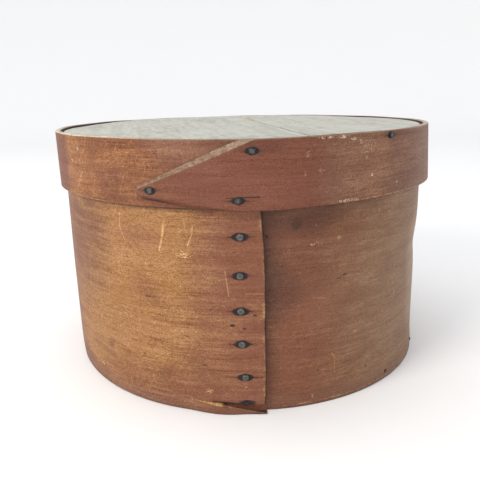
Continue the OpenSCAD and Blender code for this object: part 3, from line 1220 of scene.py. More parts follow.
class StripPlace:
    """Where a point lies on a bent strip, as signals in a shader, with the noises of the strip's wood."""

    sway = Grain(14.0, 30.0, 0.0, 2.0, 0.5)
    flutter = Grain(75.0, 70.0, 3.0, 2.0, 0.5)
    hair_along = 80.0
    hair_across = 1300.0
    stain_slim = 0.56

    def __init__(self, bench: Bench, hoop: Hoop) -> None:
        """Reads the marks kept on the hoop's points, and makes the noises with their lines swaying.

        Args:
            bench: The material's nodes.
            hoop: The hoop.
        """
        self.bench = bench
        self.hoop = hoop
        self.place = bench.mark(STRIP)
        self.along, self.up, self.side = bench.parts(self.place)
        self.low, self.high, self.end = bench.parts(bench.mark(EDGE))
        self.pocket = bench.mark_value(POCKET)
        sway, flutter = (bench.grain(self.along, self.up, layer) for layer in (self.sway, self.flutter))
        up_sway = self.up + (sway - MIDDLE) * (3.0 * MM) + (flutter - MIDDLE) * (1.6 * MM)
        noises = [bench.grain(self.along, up_sway, layer.value) for layer in HoopGrain]
        self.band, self.streak, self.fibre, self.dash = noises[:4]
        self.cloud, self.mottle, self.speck, self.grit = noises[4:]

    def hairlines(self, lean: float, layer: float) -> Signal:
        """Sparse thin scratches that all lean one way: noise stretched along the lean and cut off high."""
        grain = Grain(self.hair_along, self.hair_across, layer, 1.0, 0.5)
        return self.bench.grain(*turned(self.along, self.up, lean), grain).step(0.62, 0.78)

    def patches(self, patches: Patches, hard: float = 0.0) -> Signal | float:
        """Sum of soft round patches, each its strength times a smooth fall from its centre.

        Args:
            patches: The patches.
            hard: Share of a patch that has its full strength.

        Returns:
            The sum.
        """
        total: Signal | float = 0.0
        for patch in patches:
            centre = self.hoop.strip_place(patch.angle, patch.height)
            aside = (self.along - float(centre[0])) * (1.0 / (patch.along * MM))
            above = (self.up - float(centre[1])) * (1.0 / (patch.across * MM))
            total = (aside * aside + above * above).step(1.0, hard) * patch.strength + total
        return total

    def strokes(self, strokes: Strokes) -> Signal | float:
        """Strongest of thin lines, each a fall with the distance from a straight stretch.

        Args:
            strokes: The lines.

        Returns:
            The strength.
        """
        best: Signal | float = 0.0
        for mark in strokes:
            start = self.hoop.strip_place(*mark.start)
            run = self.hoop.strip_place(*mark.end) - start
            length = float(np.hypot(*run))
            ahead = run / length
            aside = np.array([-ahead[1], ahead[0]])
            along = self.bench.dot(self.place, ahead) - float(start @ ahead) - 0.5 * length
            across = self.bench.dot(self.place, aside) - float(start @ aside)
            off = abs(across) + (abs(along) - 0.5 * length).highest(0.0)
            best = (off.step_mm(mark.width, 0.0) * mark.strength).highest(best)
        return best

    def stains(self, nails: Nails, wander: Signal, size: float) -> tuple[Signal, Signal]:
        """Iron stains: an eye-shaped core round each nail, and long faint tails along the grain.

        Args:
            nails: The nails.
            wander: Noise that roughens the outline.
            size: Half length of a core.

        Returns:
            Strength of the cores and of the tails.
        """
        core: Signal | float = 0.0
        tail: Signal | float = 0.0
        for nail in nails:
            centre = self.hoop.strip_place(nail.angle, nail.height)
            aside = abs(self.along - float(centre[0])) * (1.0 / (size * MM))
            above = abs(self.up - float(centre[1])) * (1.0 / (self.stain_slim * size * MM))
            eye = (aside * aside * 0.95 + above * above * 1.06).lowest(aside * 0.67 + above * 2.2)
            core = (eye + wander * 0.6).step(1.5, 0.95).highest(core)
            tail = (aside * 0.24 + above * 0.75 + wander * 0.5).step(1.45, 0.3).highest(tail)
        return core, tail


@dataclass(frozen=True)
class WoodPalette:
    """Colours of a hoop's wood."""

    varnish: Colour
    worn: Colour
    faded: Colour
    ruddy: Colour
    deep: Colour
    line: Colour
    pale: Colour
    chip: Colour
    edge: Colour
    bare: Colour
    # near black of iron stains, also laid as painted shade in the split's gap and on the lid's inner wall
    # above its board
    stain_and_shade: Colour = linear(25, 22, 23)


@dataclass(frozen=True)
class WoodMarks:
    """Wear and dirt of a hoop's wood, place by place, with painted shade under the lid's rim and in the
    split.
    """

    worn: Patches
    rough: Patches
    ruddy: Patches
    faded: Patches
    # dirt, with painted shade under the lid's rim and beside the lap's end
    dirt_and_shade: Patches
    # dents and cuts, some of them painted shade in the split's gap
    dents_and_gap_shade: Patches
    chips: Patches
    strokes: Strokes
    cuts_and_gap_shade: Strokes


@dataclass(frozen=True, kw_only=True)
class HoopFinish(ABC):
    """Old varnished bentwood: grain along the strip, worn and scratched, with iron stains round the nails."""

    name: str
    palette: WoodPalette
    marks: WoodMarks
    worn_bias: float
    cloudy: float
    stain_size: float = 4.2
    hair_leans: tuple[float, float, float] = (72.0, 118.0, 38.0)
    liveliness: float = 0.45
    bump_depth: float = 0.25
    specular: float = 0.28

    @abstractmethod
    def outer_edges(self, strip: StripPlace, colour: Any) -> Any:
        """Paints the edges of the outer face."""

    def inner_face(self, strip: StripPlace) -> Any:
        """Plain wood of the inner face."""
        deep = self.palette.deep
        return strip.bench.coats(self.palette.bare, (strip.band.step(0.3, 0.8) * 0.5, deep),
                                 ((strip.fibre - 0.4) * 0.5, deep))

    def worn_share(self, strip: StripPlace, cluster: Signal) -> Signal:
        """How much worn wood shows through the varnish: noises along the grain, and the worn patches.

        Args:
            strip: Place on the strip.
            cluster: Where the streaks are strong.

        Returns:
            The share, from 0 to 1.
        """
        tone = swing((strip.mottle, 1.7), (strip.cloud, 1.7), (strip.band, 0.8),
                     (strip.streak, 0.3 + cluster * 0.8), (strip.fibre, 0.3))
        return (tone * self.cloudy + self.worn_bias + strip.patches(self.marks.worn)).step(0.0, 1.0)

    def dress(self, piece: Piece, hoop: Hoop, nails: Nails) -> None:
        """Gives a hoop its material.

        Args:
            piece: The hoop's object.
            hoop: The hoop.
            nails: Nails that stain it.
        """
        bench = Bench(self.name)
        strip = StripPlace(bench, hoop)
        paint, marks = self.palette, self.marks
        streak, fibre, speck = strip.streak, strip.fibre, strip.speck
        cloud, mottle = strip.cloud, strip.mottle
        cluster = (cloud * 0.5 + mottle * 0.5).step(0.36, 0.6)
        rough_share = strip.patches(marks.rough) + 1.0
        blotch = swing((mottle, 1.3), (strip.band, 1.6), (streak, 0.8))
        warm = (MIDDLE - cloud + (mottle - MIDDLE) * 0.7).step(0.02, 0.3) * 0.4
        dashes = strip.dash.step(0.60, 0.74) * rough_share * cluster
        lines = (streak.step(0.56, 0.72) * (0.3 + cluster)).highest(dashes)
        hairs = [strip.hairlines(lean, number + 1.0) for number, lean in enumerate(self.hair_leans)]
        hair = hairs[0].highest(hairs[1]).highest(hairs[2])
        flecks = (speck + (strip.grit - MIDDLE) * 0.5).step(0.72, 0.82) * 0.4
        scratch = (strip.strokes(marks.strokes) * (speck * 1.7).step(0.3, 0.8)).highest(flecks)
        chipped = strip.patches(marks.chips) * (speck * 0.5 + strip.grit * 0.7).step(0.56, 0.68)
        colour = bench.coats(
            paint.varnish,
            (self.worn_share(strip, cluster), paint.worn),
            (strip.patches(marks.ruddy) * (0.85 - blotch * 0.6) + warm, paint.ruddy),
            (strip.patches(marks.faded) * (0.4 + mottle), paint.faded),
            # dirt, and painted shade under the lid's rim and beside the lap's end
            (strip.patches(marks.dirt_and_shade) * (0.2 + mottle + (streak - MIDDLE)), paint.deep),
            (lines * 0.5, paint.line),
            (hair * (rough_share - 0.95) * 0.4, paint.pale),
            (scratch, paint.pale),
            (chipped, paint.chip))
        core, tail = strip.stains(nails, speck * 0.3 + streak * 1.3 - 0.3, self.stain_size)
        cuts_dents_and_gap_shade = strip.strokes(marks.cuts_and_gap_shade).highest(strip.patches(marks.dents_and_gap_shade, 0.3))
        flame = (tail + swing((streak, 1.6), (fibre, 0.8))).step(0.25, 0.95) * tail.step(0.0, 0.3)
        colour = bench.coats(
            self.outer_edges(strip, colour),
            (flame * 0.55 + tail * 0.25, paint.line),
            # cuts and dents, and painted shade in the split's gap at the foot of the lap
            (cuts_dents_and_gap_shade * 0.92, paint.stain_and_shade),
            (core * 0.96, paint.stain_and_shade))
        fine = swing((strip.grit, 1.4), (speck, 0.9), (fibre, 0.8), (streak, 0.35))
        lively = fine * rough_share * (0.7 + cluster * 0.5) + blotch * 0.46 + (cloud - MIDDLE) * 0.15
        colour = bench.liven(colour, lively * self.liveliness)
        colour = bench.coats(self.inner_face(strip), (strip.side.step(0.15, 0.45), colour))
        rough = 0.55 + swing((mottle, 0.2), (fibre, 0.14))
        worn_in = lines * 0.3 + scratch * 0.3 + chipped * 0.3 + cuts_dents_and_gap_shade * 0.8 + core * 0.3
        height = fibre * 0.4 + strip.band * 0.5 + speck * 0.3 - worn_in
        bench.finish(colour, rough, height, self.bump_depth, self.specular)
        piece.data.materials.append(bench.material)


@dataclass(frozen=True, kw_only=True)
class BodyFinish(HoopFinish):
    """The body's wood: a dark line of dirt and painted shade at the lap's end, fresh wood in the split, a
    worn line above the foot.
    """

    fresh: Colour = linear(208, 164, 116)
    foot_grey: Colour = linear(112, 80, 70)
    # Painted sheen: a pale grey patch along the right limb.
    dust_and_sheen: Colour = linear(152, 128, 106)
    limb_sheen: Patches = spots((69, 57, 26, 62, 0.85))
    fresh_from: float = 21.5
    fresh_run: float = 2.5
    narrow_from: float = 16.0
    narrow_run: float = 2.5
    lid_line: float = 113.5
    foot_line: float = 2.0
    single_from: float = 0.3
    single_full: float = 0.34

    def outer_edges(self, strip: StripPlace, colour: Any) -> Any:
        """Paints the lap's end, its shadow on the layer below, a painted sheen along the right limb, painted
        shade under the lid's edge, the foot and the split.

        Args:
            strip: Place on the strip.
            colour: Colour so far.

        Returns:
            The new colour.
        """
        paint, patchy = self.palette, strip.mottle
        whole_turn = 2.0 * math.pi * strip.hoop.inner_r * MM
        below_end = strip.along - whole_turn
        shadow = below_end.step_mm(-14.0, -0.5) * below_end.step_mm(20.0, 8.0) * strip.up.step_mm(3.0, 11.0)
        rubbed = strip.end.step(2.4, 0.9) * patchy.step(0.46, 0.66)
        # Painted shade, with some dirt, in a band on the wall just under the lid's lower edge.
        lid_edge_shade = strip.up.step_mm(self.lid_line - 2.8, self.lid_line)
        under_lid = strip.up.step_mm(self.lid_line + 1.0, self.lid_line + 5.0)
        single = strip.along.step(self.single_from * whole_turn, self.single_full * whole_turn)
        foot = strip.low.step(1.8, 1.3) * single
        broken = (patchy * 0.6 + strip.speck * 0.6).step(0.5, 0.75)
        line = abs(strip.low - self.foot_line).step(0.45, 0.1) * broken * single
        colour = strip.bench.coats(
            colour,
            (shadow * (0.22 + strip.up.step_mm(30.0, 80.0) * 0.28), paint.deep),
            # painted sheen along the right limb
            (strip.patches(self.limb_sheen), self.dust_and_sheen),
            (rubbed * 0.3, paint.pale),
            # painted shade under the lid's edge
            (lid_edge_shade * (1.0 - under_lid * 0.8) * (0.5 + patchy * 0.6), paint.deep),
            (strip.low.step(13.0, 1.0) * (0.15 + patchy * 0.5), self.foot_grey),
            (foot * 0.4, paint.line),
            (line * 0.45, paint.pale),
            # painted shade where the foot's edge turns under
            (strip.low.step(0.5, -0.1) * 0.85, paint.deep))
        colour = self.split_wood(strip, colour)
        return strip.bench.coats(colour, (strip.high.step(0.4, -0.2) * 0.8, paint.edge))

    def split_wood(self, strip: StripPlace, colour: Any) -> Any:
        """Paints the split: fresh wood where it opens, painted shade where it is deep, and a dark end of the
        lap of dirt and painted shade.

        Args:
            strip: Place on the strip.
            colour: Colour so far.

        Returns:
            The new colour.
        """
        paint = self.palette
        bared = strip.along.step_mm(self.fresh_from, self.fresh_from + self.fresh_run)
        narrow = strip.along.step_mm(self.narrow_from, self.narrow_from + self.narrow_run)
        lip, gap, ledge = (strip.pocket.step(*ends) for ends in ((0.01, 0.05), (0.18, 0.24), (0.56, 0.64)))
        splinter = strip.along.step_mm(15.0, 3.0) * strip.low.step(3.4, 1.2) * (1.0 - lip)
        # Dark line along the lap's end: dirt, and painted shade where the end turns away from the light.
        end_dirt_and_shade = (strip.end + (strip.speck - MIDDLE) * 0.5).step(0.8, 0.35) * (1.0 - lip)
        return strip.bench.coats(
            colour,
            (lip * (1.0 - ledge) * (0.5 + bared * 0.5), self.fresh),
            # painted shade in the split's gap
            (gap * (1.0 - ledge) * (1.0 - bared) * 0.95, paint.deep),
            (ledge * (0.35 - bared * 0.35), paint.ruddy),
            (ledge * bared, self.fresh),
            # painted shade deep in the narrow part of the split
            ((strip.pocket - bared * 0.12).step(0.62, 0.78) * narrow * 0.95, paint.stain_and_shade),
            (splinter * 0.35, paint.stain_and_shade),
            (end_dirt_and_shade * 0.85, paint.stain_and_shade))


@dataclass(frozen=True, kw_only=True)
class LidFinish(HoopFinish):
    """The lid's wood: a pale bevel along the finger, a rim pale at the sides, worn at the left and a painted
    highlight at the right, and a rubbed lower edge.
    """

    rim: Colour = linear(192, 184, 164)
    bevel: Colour = linear(116, 85, 64)
    # Pale rim: worn at the left, a painted highlight at the right.
    rim_wear_and_glare: Patches = spots((-56, 146, 95, 40, 0.9), (78, 146, 70, 40, 0.5))
    rubbed: Patches = spots((48, 113.5, 70, 20, 0.55), (-48, 113.5, 50, 20, 0.35))
    finger_shade_run: float = 6.0

    def outer_edges(self, strip: StripPlace, colour: Any) -> Any:
        """Paints the bevel, the rim, the lower edge and the dark line under the finger, painted shade along
        its lower edge with a crack near its tip.

        Args:
            strip: Place on the strip.
            colour: Colour so far.

        Returns:
            The new colour.
        """
        bench, paint, hoop = strip.bench, self.palette, strip.hoop
        ends = (hoop.finger_head, -hoop.finger_heel)
        head, heel = (float(hoop.strip_place(angle, 0.0)[0]) for angle in ends)
        on_rim = strip.along.step(head - MM, head + MM)
        bevel = bench.coats(self.bevel, ((strip.speck - 0.35) * 0.7, self.rim))
        rubbed = strip.low.step(0.9, 0.1) * strip.patches(self.rubbed)
        under = strip.along.step(heel, heel - self.finger_shade_run * MM)
        near_tip = strip.along.step_mm(24.0, 12.0) * strip.along.step_mm(3.0, 6.0)
        return bench.coats(
            colour,
            (strip.high.step(0.25, -0.1) * (1.0 - on_rim), bevel),
            (strip.high.step(0.45, -0.2) * on_rim * (0.3 + strip.mottle * 0.5), paint.edge),
            # pale rim, worn at the left and a painted highlight at the right
            (strip.high.step(0.8, 0.0) * on_rim * strip.patches(self.rim_wear_and_glare), self.rim),
            (rubbed * strip.speck.step(0.3, 0.6), paint.pale),
            # painted shade along the finger's lower edge, stronger near the tip where a crack runs by the
            # nail
            (strip.low.step(-0.9, -2.4) * under * (0.25 + near_tip * 0.7), paint.deep))

    def inner_face(self, strip: StripPlace) -> Any:
        """Plain wood of the inner face, with painted shade on the strip above the board."""
        # painted shade on the inner wall above the board
        dirt_and_shade = strip.up.step_mm(strip.hoop.high - 2.2, strip.hoop.high - 1.0)
        return strip.bench.coats(super().inner_face(strip), (dirt_and_shade * 0.9, self.palette.stain_and_shade))


class BoardGrain(Enum):
    """Layers of noise in a board, across its grain and along it."""

    BAND = Grain(140.0, 5.0, 0.0)
    FIBRE = Grain(1300.0, 36.0, 2.0)
    FLECK = Grain(380.0, 45.0, 8.0)
    MOTTLE = Grain(30.0, 22.0, 4.0, 4.0)
    SPECK = Grain(150.0, 190.0, 6.0, 4.0, 0.68)


class BoardPlace:
    """Where a point lies on a board, as signals in a shader, with the noises of its wood."""

    sway = Grain(18.0, 7.0, 0.0, 2.0, 0.5)
    sway_mm = 9.0

    def __init__(self, bench: Bench, lean: float) -> None:
        """Turns the place to the grain and makes the noises, the long ones with their lines swaying.

        Args:
            bench: The material's nodes.
            lean: Angle of the grain.
        """
        self.x, self.y, self.up = bench.parts(bench.object_place())
        across, self.along = turned(self.x, self.y, lean)
        sway = bench.grain(across, self.along, self.sway)
        self.swayed = across + (sway - MIDDLE) * (self.sway_mm * MM)
        self.band, self.fibre = (bench.grain(self.swayed, self.along, layer.value)
                                 for layer in (BoardGrain.BAND, BoardGrain.FIBRE))
        self.mottle, self.speck = (bench.grain(across, self.along, layer.value)
                                   for layer in (BoardGrain.MOTTLE, BoardGrain.SPECK))


@dataclass(frozen=True, kw_only=True)
class BoardFinish:
    """Board of bare wood with its grain along one line."""

    name: str
    lean: float
    bare: Colour = linear(158, 124, 84)
    deep: Colour = linear(112, 78, 52)
    bump_depth: float = 0.2
    specular: float = 0.3

    def surface(self, bench: Bench, place: BoardPlace, wood: Any) -> Any:
        """Bare wood all over."""
        return wood

    def dress(self, piece: Piece) -> None:
        """Gives a board its material.

        Args:
            piece: The board's object.
        """
        bench = Bench(self.name)
        place = BoardPlace(bench, self.lean)
        wood = bench.coats(self.bare, (place.band.step(0.35, 0.7) * 0.45, self.deep),
                           ((place.fibre - 0.4) * 0.8, self.deep))
        rough = 0.55 + swing((place.mottle, 0.2), (place.fibre, 0.12))
        height = place.band * 0.5 + place.fibre * 0.4 + place.speck * 0.2
        bench.finish(self.surface(bench, place, wood), rough, height, self.bump_depth, self.specular)
        piece.data.materials.append(bench.material)


@dataclass(frozen=True, kw_only=True)
class PaleBoardFinish(BoardFinish):
    """Board with a pale weathered face, darker at its rim and bared beside the back of its crack."""

    face_from: float
    face: Colour = linear(184, 184, 175)
    streak: Colour = linear(150, 150, 138)
    dust_and_sheen: Colour = linear(132, 130, 112)
    rim_colour: Colour = linear(98, 84, 66)
    crack_colour: Colour = linear(170, 152, 118)
    radius: float = 119.0
    rim_width: float = 3.0

    def surface(self, bench: Bench, place: BoardPlace, wood: Any) -> Any:
        """Paints the face over the wood.

        Args:
            bench: The material's nodes.
            place: Place on the board.
            wood: Colour of the bare wood.

        Returns:
            The new colour.
        """
        mottle, speck, along = place.mottle, place.speck, place.along
        crack = bench.mark_value(CRACK)
        fleck = bench.grain(place.swayed, along, BoardGrain.FLECK.value)
        flat_place = bench.vector(place.x, place.y, 0.0)
        reach = Signal(bench, bench.vector_maths("LENGTH", {0: flat_place}, "Value"))
        rim = reach.step_mm(self.radius - self.rim_width, self.radius)
        bared = crack.step(3.2, 1.4) * along.step_mm(22.0, 45.0) * along.step_mm(84.0, 76.0)
        paint = bench.coats(
            self.face,
            (place.band.step(0.4, 0.75) * 0.6, self.streak),
            ((fleck + (mottle - MIDDLE) * 0.45).step(0.46, 0.74) * 0.5, self.dust_and_sheen),
            ((place.fibre - 0.45) * 0.8, self.streak),
            (speck.step(0.44, 0.8) * (0.3 + mottle.step(0.36, 0.66) * 0.5), self.rim_colour),
            (rim * (mottle * 1.6).step(0.6, 1.0) * 0.6, self.rim_colour),
            (bared * (speck * 1.6).step(0.4, 0.9), self.crack_colour))
        faced = place.up.step_mm(self.face_from - 1.0, self.face_from)
        lips = (crack + (speck - MIDDLE) * 0.8).step(0.5, 0.15) * 0.5
        return bench.coats(wood, (faced, paint), (lips, self.rim_colour))


@dataclass(frozen=True)
class IronFinish:
    """Old iron: dark, a little rusty, worn bright on the crown with a broken ring of glints."""

    name: str = "nail_iron"
    dark: Colour = linear(30, 29, 31)
    rust: Colour = linear(48, 40, 36)
    bright: Colour = linear(82, 81, 79)
    glint: Colour = linear(128, 126, 121)
    ring_place: float = 0.42
    metallic: float = 0.4
    bump_depth: float = 0.2
    specular: float = 0.4

    def dress(self, pieces: list[Piece]) -> None:
        """Gives nails their material.

        Args:
            pieces: The nails' objects.
        """
        bench = Bench(self.name)
        place = bench.object_place()
        crown = bench.mark_value(CROWN)
        lumps = bench.noise(place, 900.0, 3.0, 0.6)
        grains = bench.noise(place, 3200.0)
        bright = (crown + (lumps - MIDDLE) * 0.3).step(0.02, 0.18)
        ring = abs(crown - self.ring_place).step(0.3, 0.08) * (lumps * 0.6 + grains * 0.4).step(0.44, 0.6)
        colour = bench.coats(self.dark, (lumps.step(0.45, 0.7) * 0.5, self.rust),
                             (bright * 0.75, self.bright), (ring * 0.65, self.glint))
        rough = 0.6 - bright * 0.15 + (grains - MIDDLE) * 0.2
        bench.finish(colour, rough, lumps * 0.7 + grains * 0.3, self.bump_depth, self.specular)
        bench.shader.inputs["Metallic"].default_value = self.metallic
        for piece in pieces:
            piece.data.materials.append(bench.material)


@dataclass(frozen=True)
class Lamp:
    """A square soft light, in metres and watts, aimed at a point."""

    name: str
    place: Point
    target: Point
    size: float
    power: float
    colour: Colour

    def light(self) -> None:
        """Puts the light into the scene."""
        light = bpy.data.lights.new(self.name, "AREA")
        light.shape = "SQUARE"
        light.size = self.size
        light.energy = self.power
        light.color = self.colour
        holder = bpy.data.objects.new(self.name, light)
        holder.location = self.place
        holder.rotation_mode = "QUATERNION"
        holder.rotation_quaternion = (Vector(self.target) - Vector(self.place)).to_track_quat("-Z", "Y")
        bpy.context.collection.objects.link(holder)


@dataclass(frozen=True)
class Studio:
    """Pale floor, a warm key from the left, a weak light from above, and the photograph's camera."""

    camera_place: Point = (0.0, -394.51, 168.41)
    pan: float = -0.414
    tilt: float = 14.560
    roll: float = -1.230
    lens: float = 43.223
    sensor: float = 36.0
    clip_start_m: float = 0.01
    lamps: tuple[Lamp, ...] = (Lamp("key", (-1.1, -1.0, 0.8), (0.0, 0.0, 0.07), 0.7, 17.0, (1.0, 0.95, 0.88)),
                               Lamp("top", (-0.3, 0.2, 1.6), (0.0, 0.0, 0.1), 1.2, 4.0, (1.0, 1.0, 1.0)))
    surround: tuple[float, float, float, float] = (0.97, 0.98, 1.0, 1.0)
    surround_strength: float = 0.95
    floor_reach: float = 6000.0
    floor_flat: float = 1800.0
    floor_rise: float = 3500.0
    floor_drop: float = 0.05
    floor_rings: int = 61
    floor_spokes: int = 72

    def camera(self) -> None:
        """Places the camera by its pan, its tilt downwards and its roll."""
        pan, tilt, roll = (math.radians(value) for value in (self.pan, self.tilt, self.roll))
        ahead = Vector((math.sin(pan) * math.cos(tilt), math.cos(pan) * math.cos(tilt), -math.sin(tilt)))
        right = ahead.cross(Vector((0.0, 0.0, 1.0))).normalized()
        up = right.cross(ahead)
        rolled_right = math.cos(roll) * right + math.sin(roll) * up
        rolled_up = math.cos(roll) * up - math.sin(roll) * right
        view = bpy.data.cameras.new("camera")
        view.lens = self.lens
        view.sensor_width = self.sensor
        view.clip_start = self.clip_start_m
        holder = bpy.data.objects.new("camera", view)
        turn = Matrix((rolled_right, rolled_up, -ahead)).transposed().to_4x4()
        holder.matrix_world = Matrix.Translation(Vector(self.camera_place) * MM) @ turn
        bpy.context.collection.objects.link(holder)
        bpy.context.scene.camera = holder

    def lights(self) -> None:
        """Puts in the lamps and an even white surround."""
        for lamp in self.lamps:
            lamp.light()
        world = bpy.data.worlds.new("surround")
        bpy.context.scene.world = world
        world.use_nodes = True
        shade = world.node_tree.nodes["Background"]
        shade.inputs["Color"].default_value = self.surround
        shade.inputs["Strength"].default_value = self.surround_strength
        bpy.context.scene.view_settings.view_transform = "Standard"

    def sweep(self) -> None:
        """Pale floor that rises far off on every side, on a smooth step of the distance from the box."""
        rings = np.linspace(0.0, self.floor_reach, self.floor_rings)
        spokes = np.linspace(0.0, FULL_TURN, self.floor_spokes, endpoint=False)
        reach, angle = np.meshgrid(rings, spokes, indexing="ij")
        rise = self.floor_rise * smooth((reach - self.floor_flat) / self.floor_rise)
        points = wall_points(reach, angle, rise - self.floor_drop)
        mesh = bpy.data.meshes.new("floor")
        faces = grid_faces(self.floor_rings, self.floor_spokes, closed=True).tolist()
        mesh.from_pydata(points.reshape(-1, 3) * MM, [], faces)
        mesh.polygons.foreach_set("use_smooth", np.ones(len(mesh.polygons), dtype=bool))
        floor = bpy.data.objects.new("floor", mesh)
        bpy.context.collection.objects.link(floor)
        bench = Bench("floor")
        cloud = bench.noise(bench.object_place(), 3.0)
        colour = bench.coats((0.93, 0.93, 0.93), (cloud * 0.3, (0.90, 0.90, 0.90)))
        bench.finish(colour, 0.9, cloud, 0.1, 0.1)
        mesh.materials.append(bench.material)


@dataclass(frozen=True)
class NailPlan:
    """Where the nails go, and how deep: through a lap and bent over, or into a board, lapped or not."""

    body_lap_reach: float = 5.9
    lid_lap_reach: float = 6.3
    board_reach: float = 12.0
    lapped_board_reach: float = 15.0
    pitch: float = 18.4
    row_drift: tuple[tuple[float, float], ...] = (
        (-0.3, -1.6), (-1.0, -1.0), (-1.1, -1.1), (-1.15, -0.4), (-0.95, 1.4), (-1.1, 1.4))
    body_ring: tuple[float, ...] = (45.6, 71.5, 112.0, 153.0, -164.0, -122.0, -82.0)
    foot_angle: float = -0.2
    foot_share: float = 1.34
    lid_lap: tuple[tuple[float, float], ...] = ((-21.1, 8.5), (-1.1, 4.2))
    lid_lap_board: tuple[float, float] = (2.05, -1.1)
    lid_ring: tuple[tuple[float, float], ...] = (
        (39.6, 2.3), (94.0, 0.0), (143.0, 0.6), (-166.0, -0.5), (-113.0, 0.3))

    def on_body(self, middle: float) -> tuple[Nails, Nails, Nails]:
        """Nails of the body: the clenched row up the lap, the foot nail and the ring into the bottom board.

        Args:
            middle: Height of the middle of the bottom board.

        Returns:
            The three kinds of nail.
        """
        row = tuple(NailPlace(angle, middle + self.pitch * (step + 1) + shift, self.body_lap_reach, True)
                    for step, (angle, shift) in enumerate(self.row_drift))
        foot = (NailPlace(self.foot_angle, self.foot_share * middle, self.lapped_board_reach),)
        return row, foot, tuple(NailPlace(angle, middle, self.board_reach) for angle in self.body_ring)

    def on_lid(self, low: float, middle: float) -> tuple[Nails, Nails, Nails]:
        """Nails of the lid: two clenched in the lap, one through the lap into the board, and the ring.

        Args:
            low: Height of the lid hoop's lower edge.
            middle: Height of the middle of the lid board.

        Returns:
            The three kinds of nail.
        """
        lap = tuple(NailPlace(angle, low + rise, self.lid_lap_reach, True) for angle, rise in self.lid_lap)
        angle, shift = self.lid_lap_board
        ring = tuple(NailPlace(place, middle + drift, self.board_reach) for place, drift in self.lid_ring)
        return lap, (NailPlace(angle, middle + shift, self.lapped_board_reach),), ring


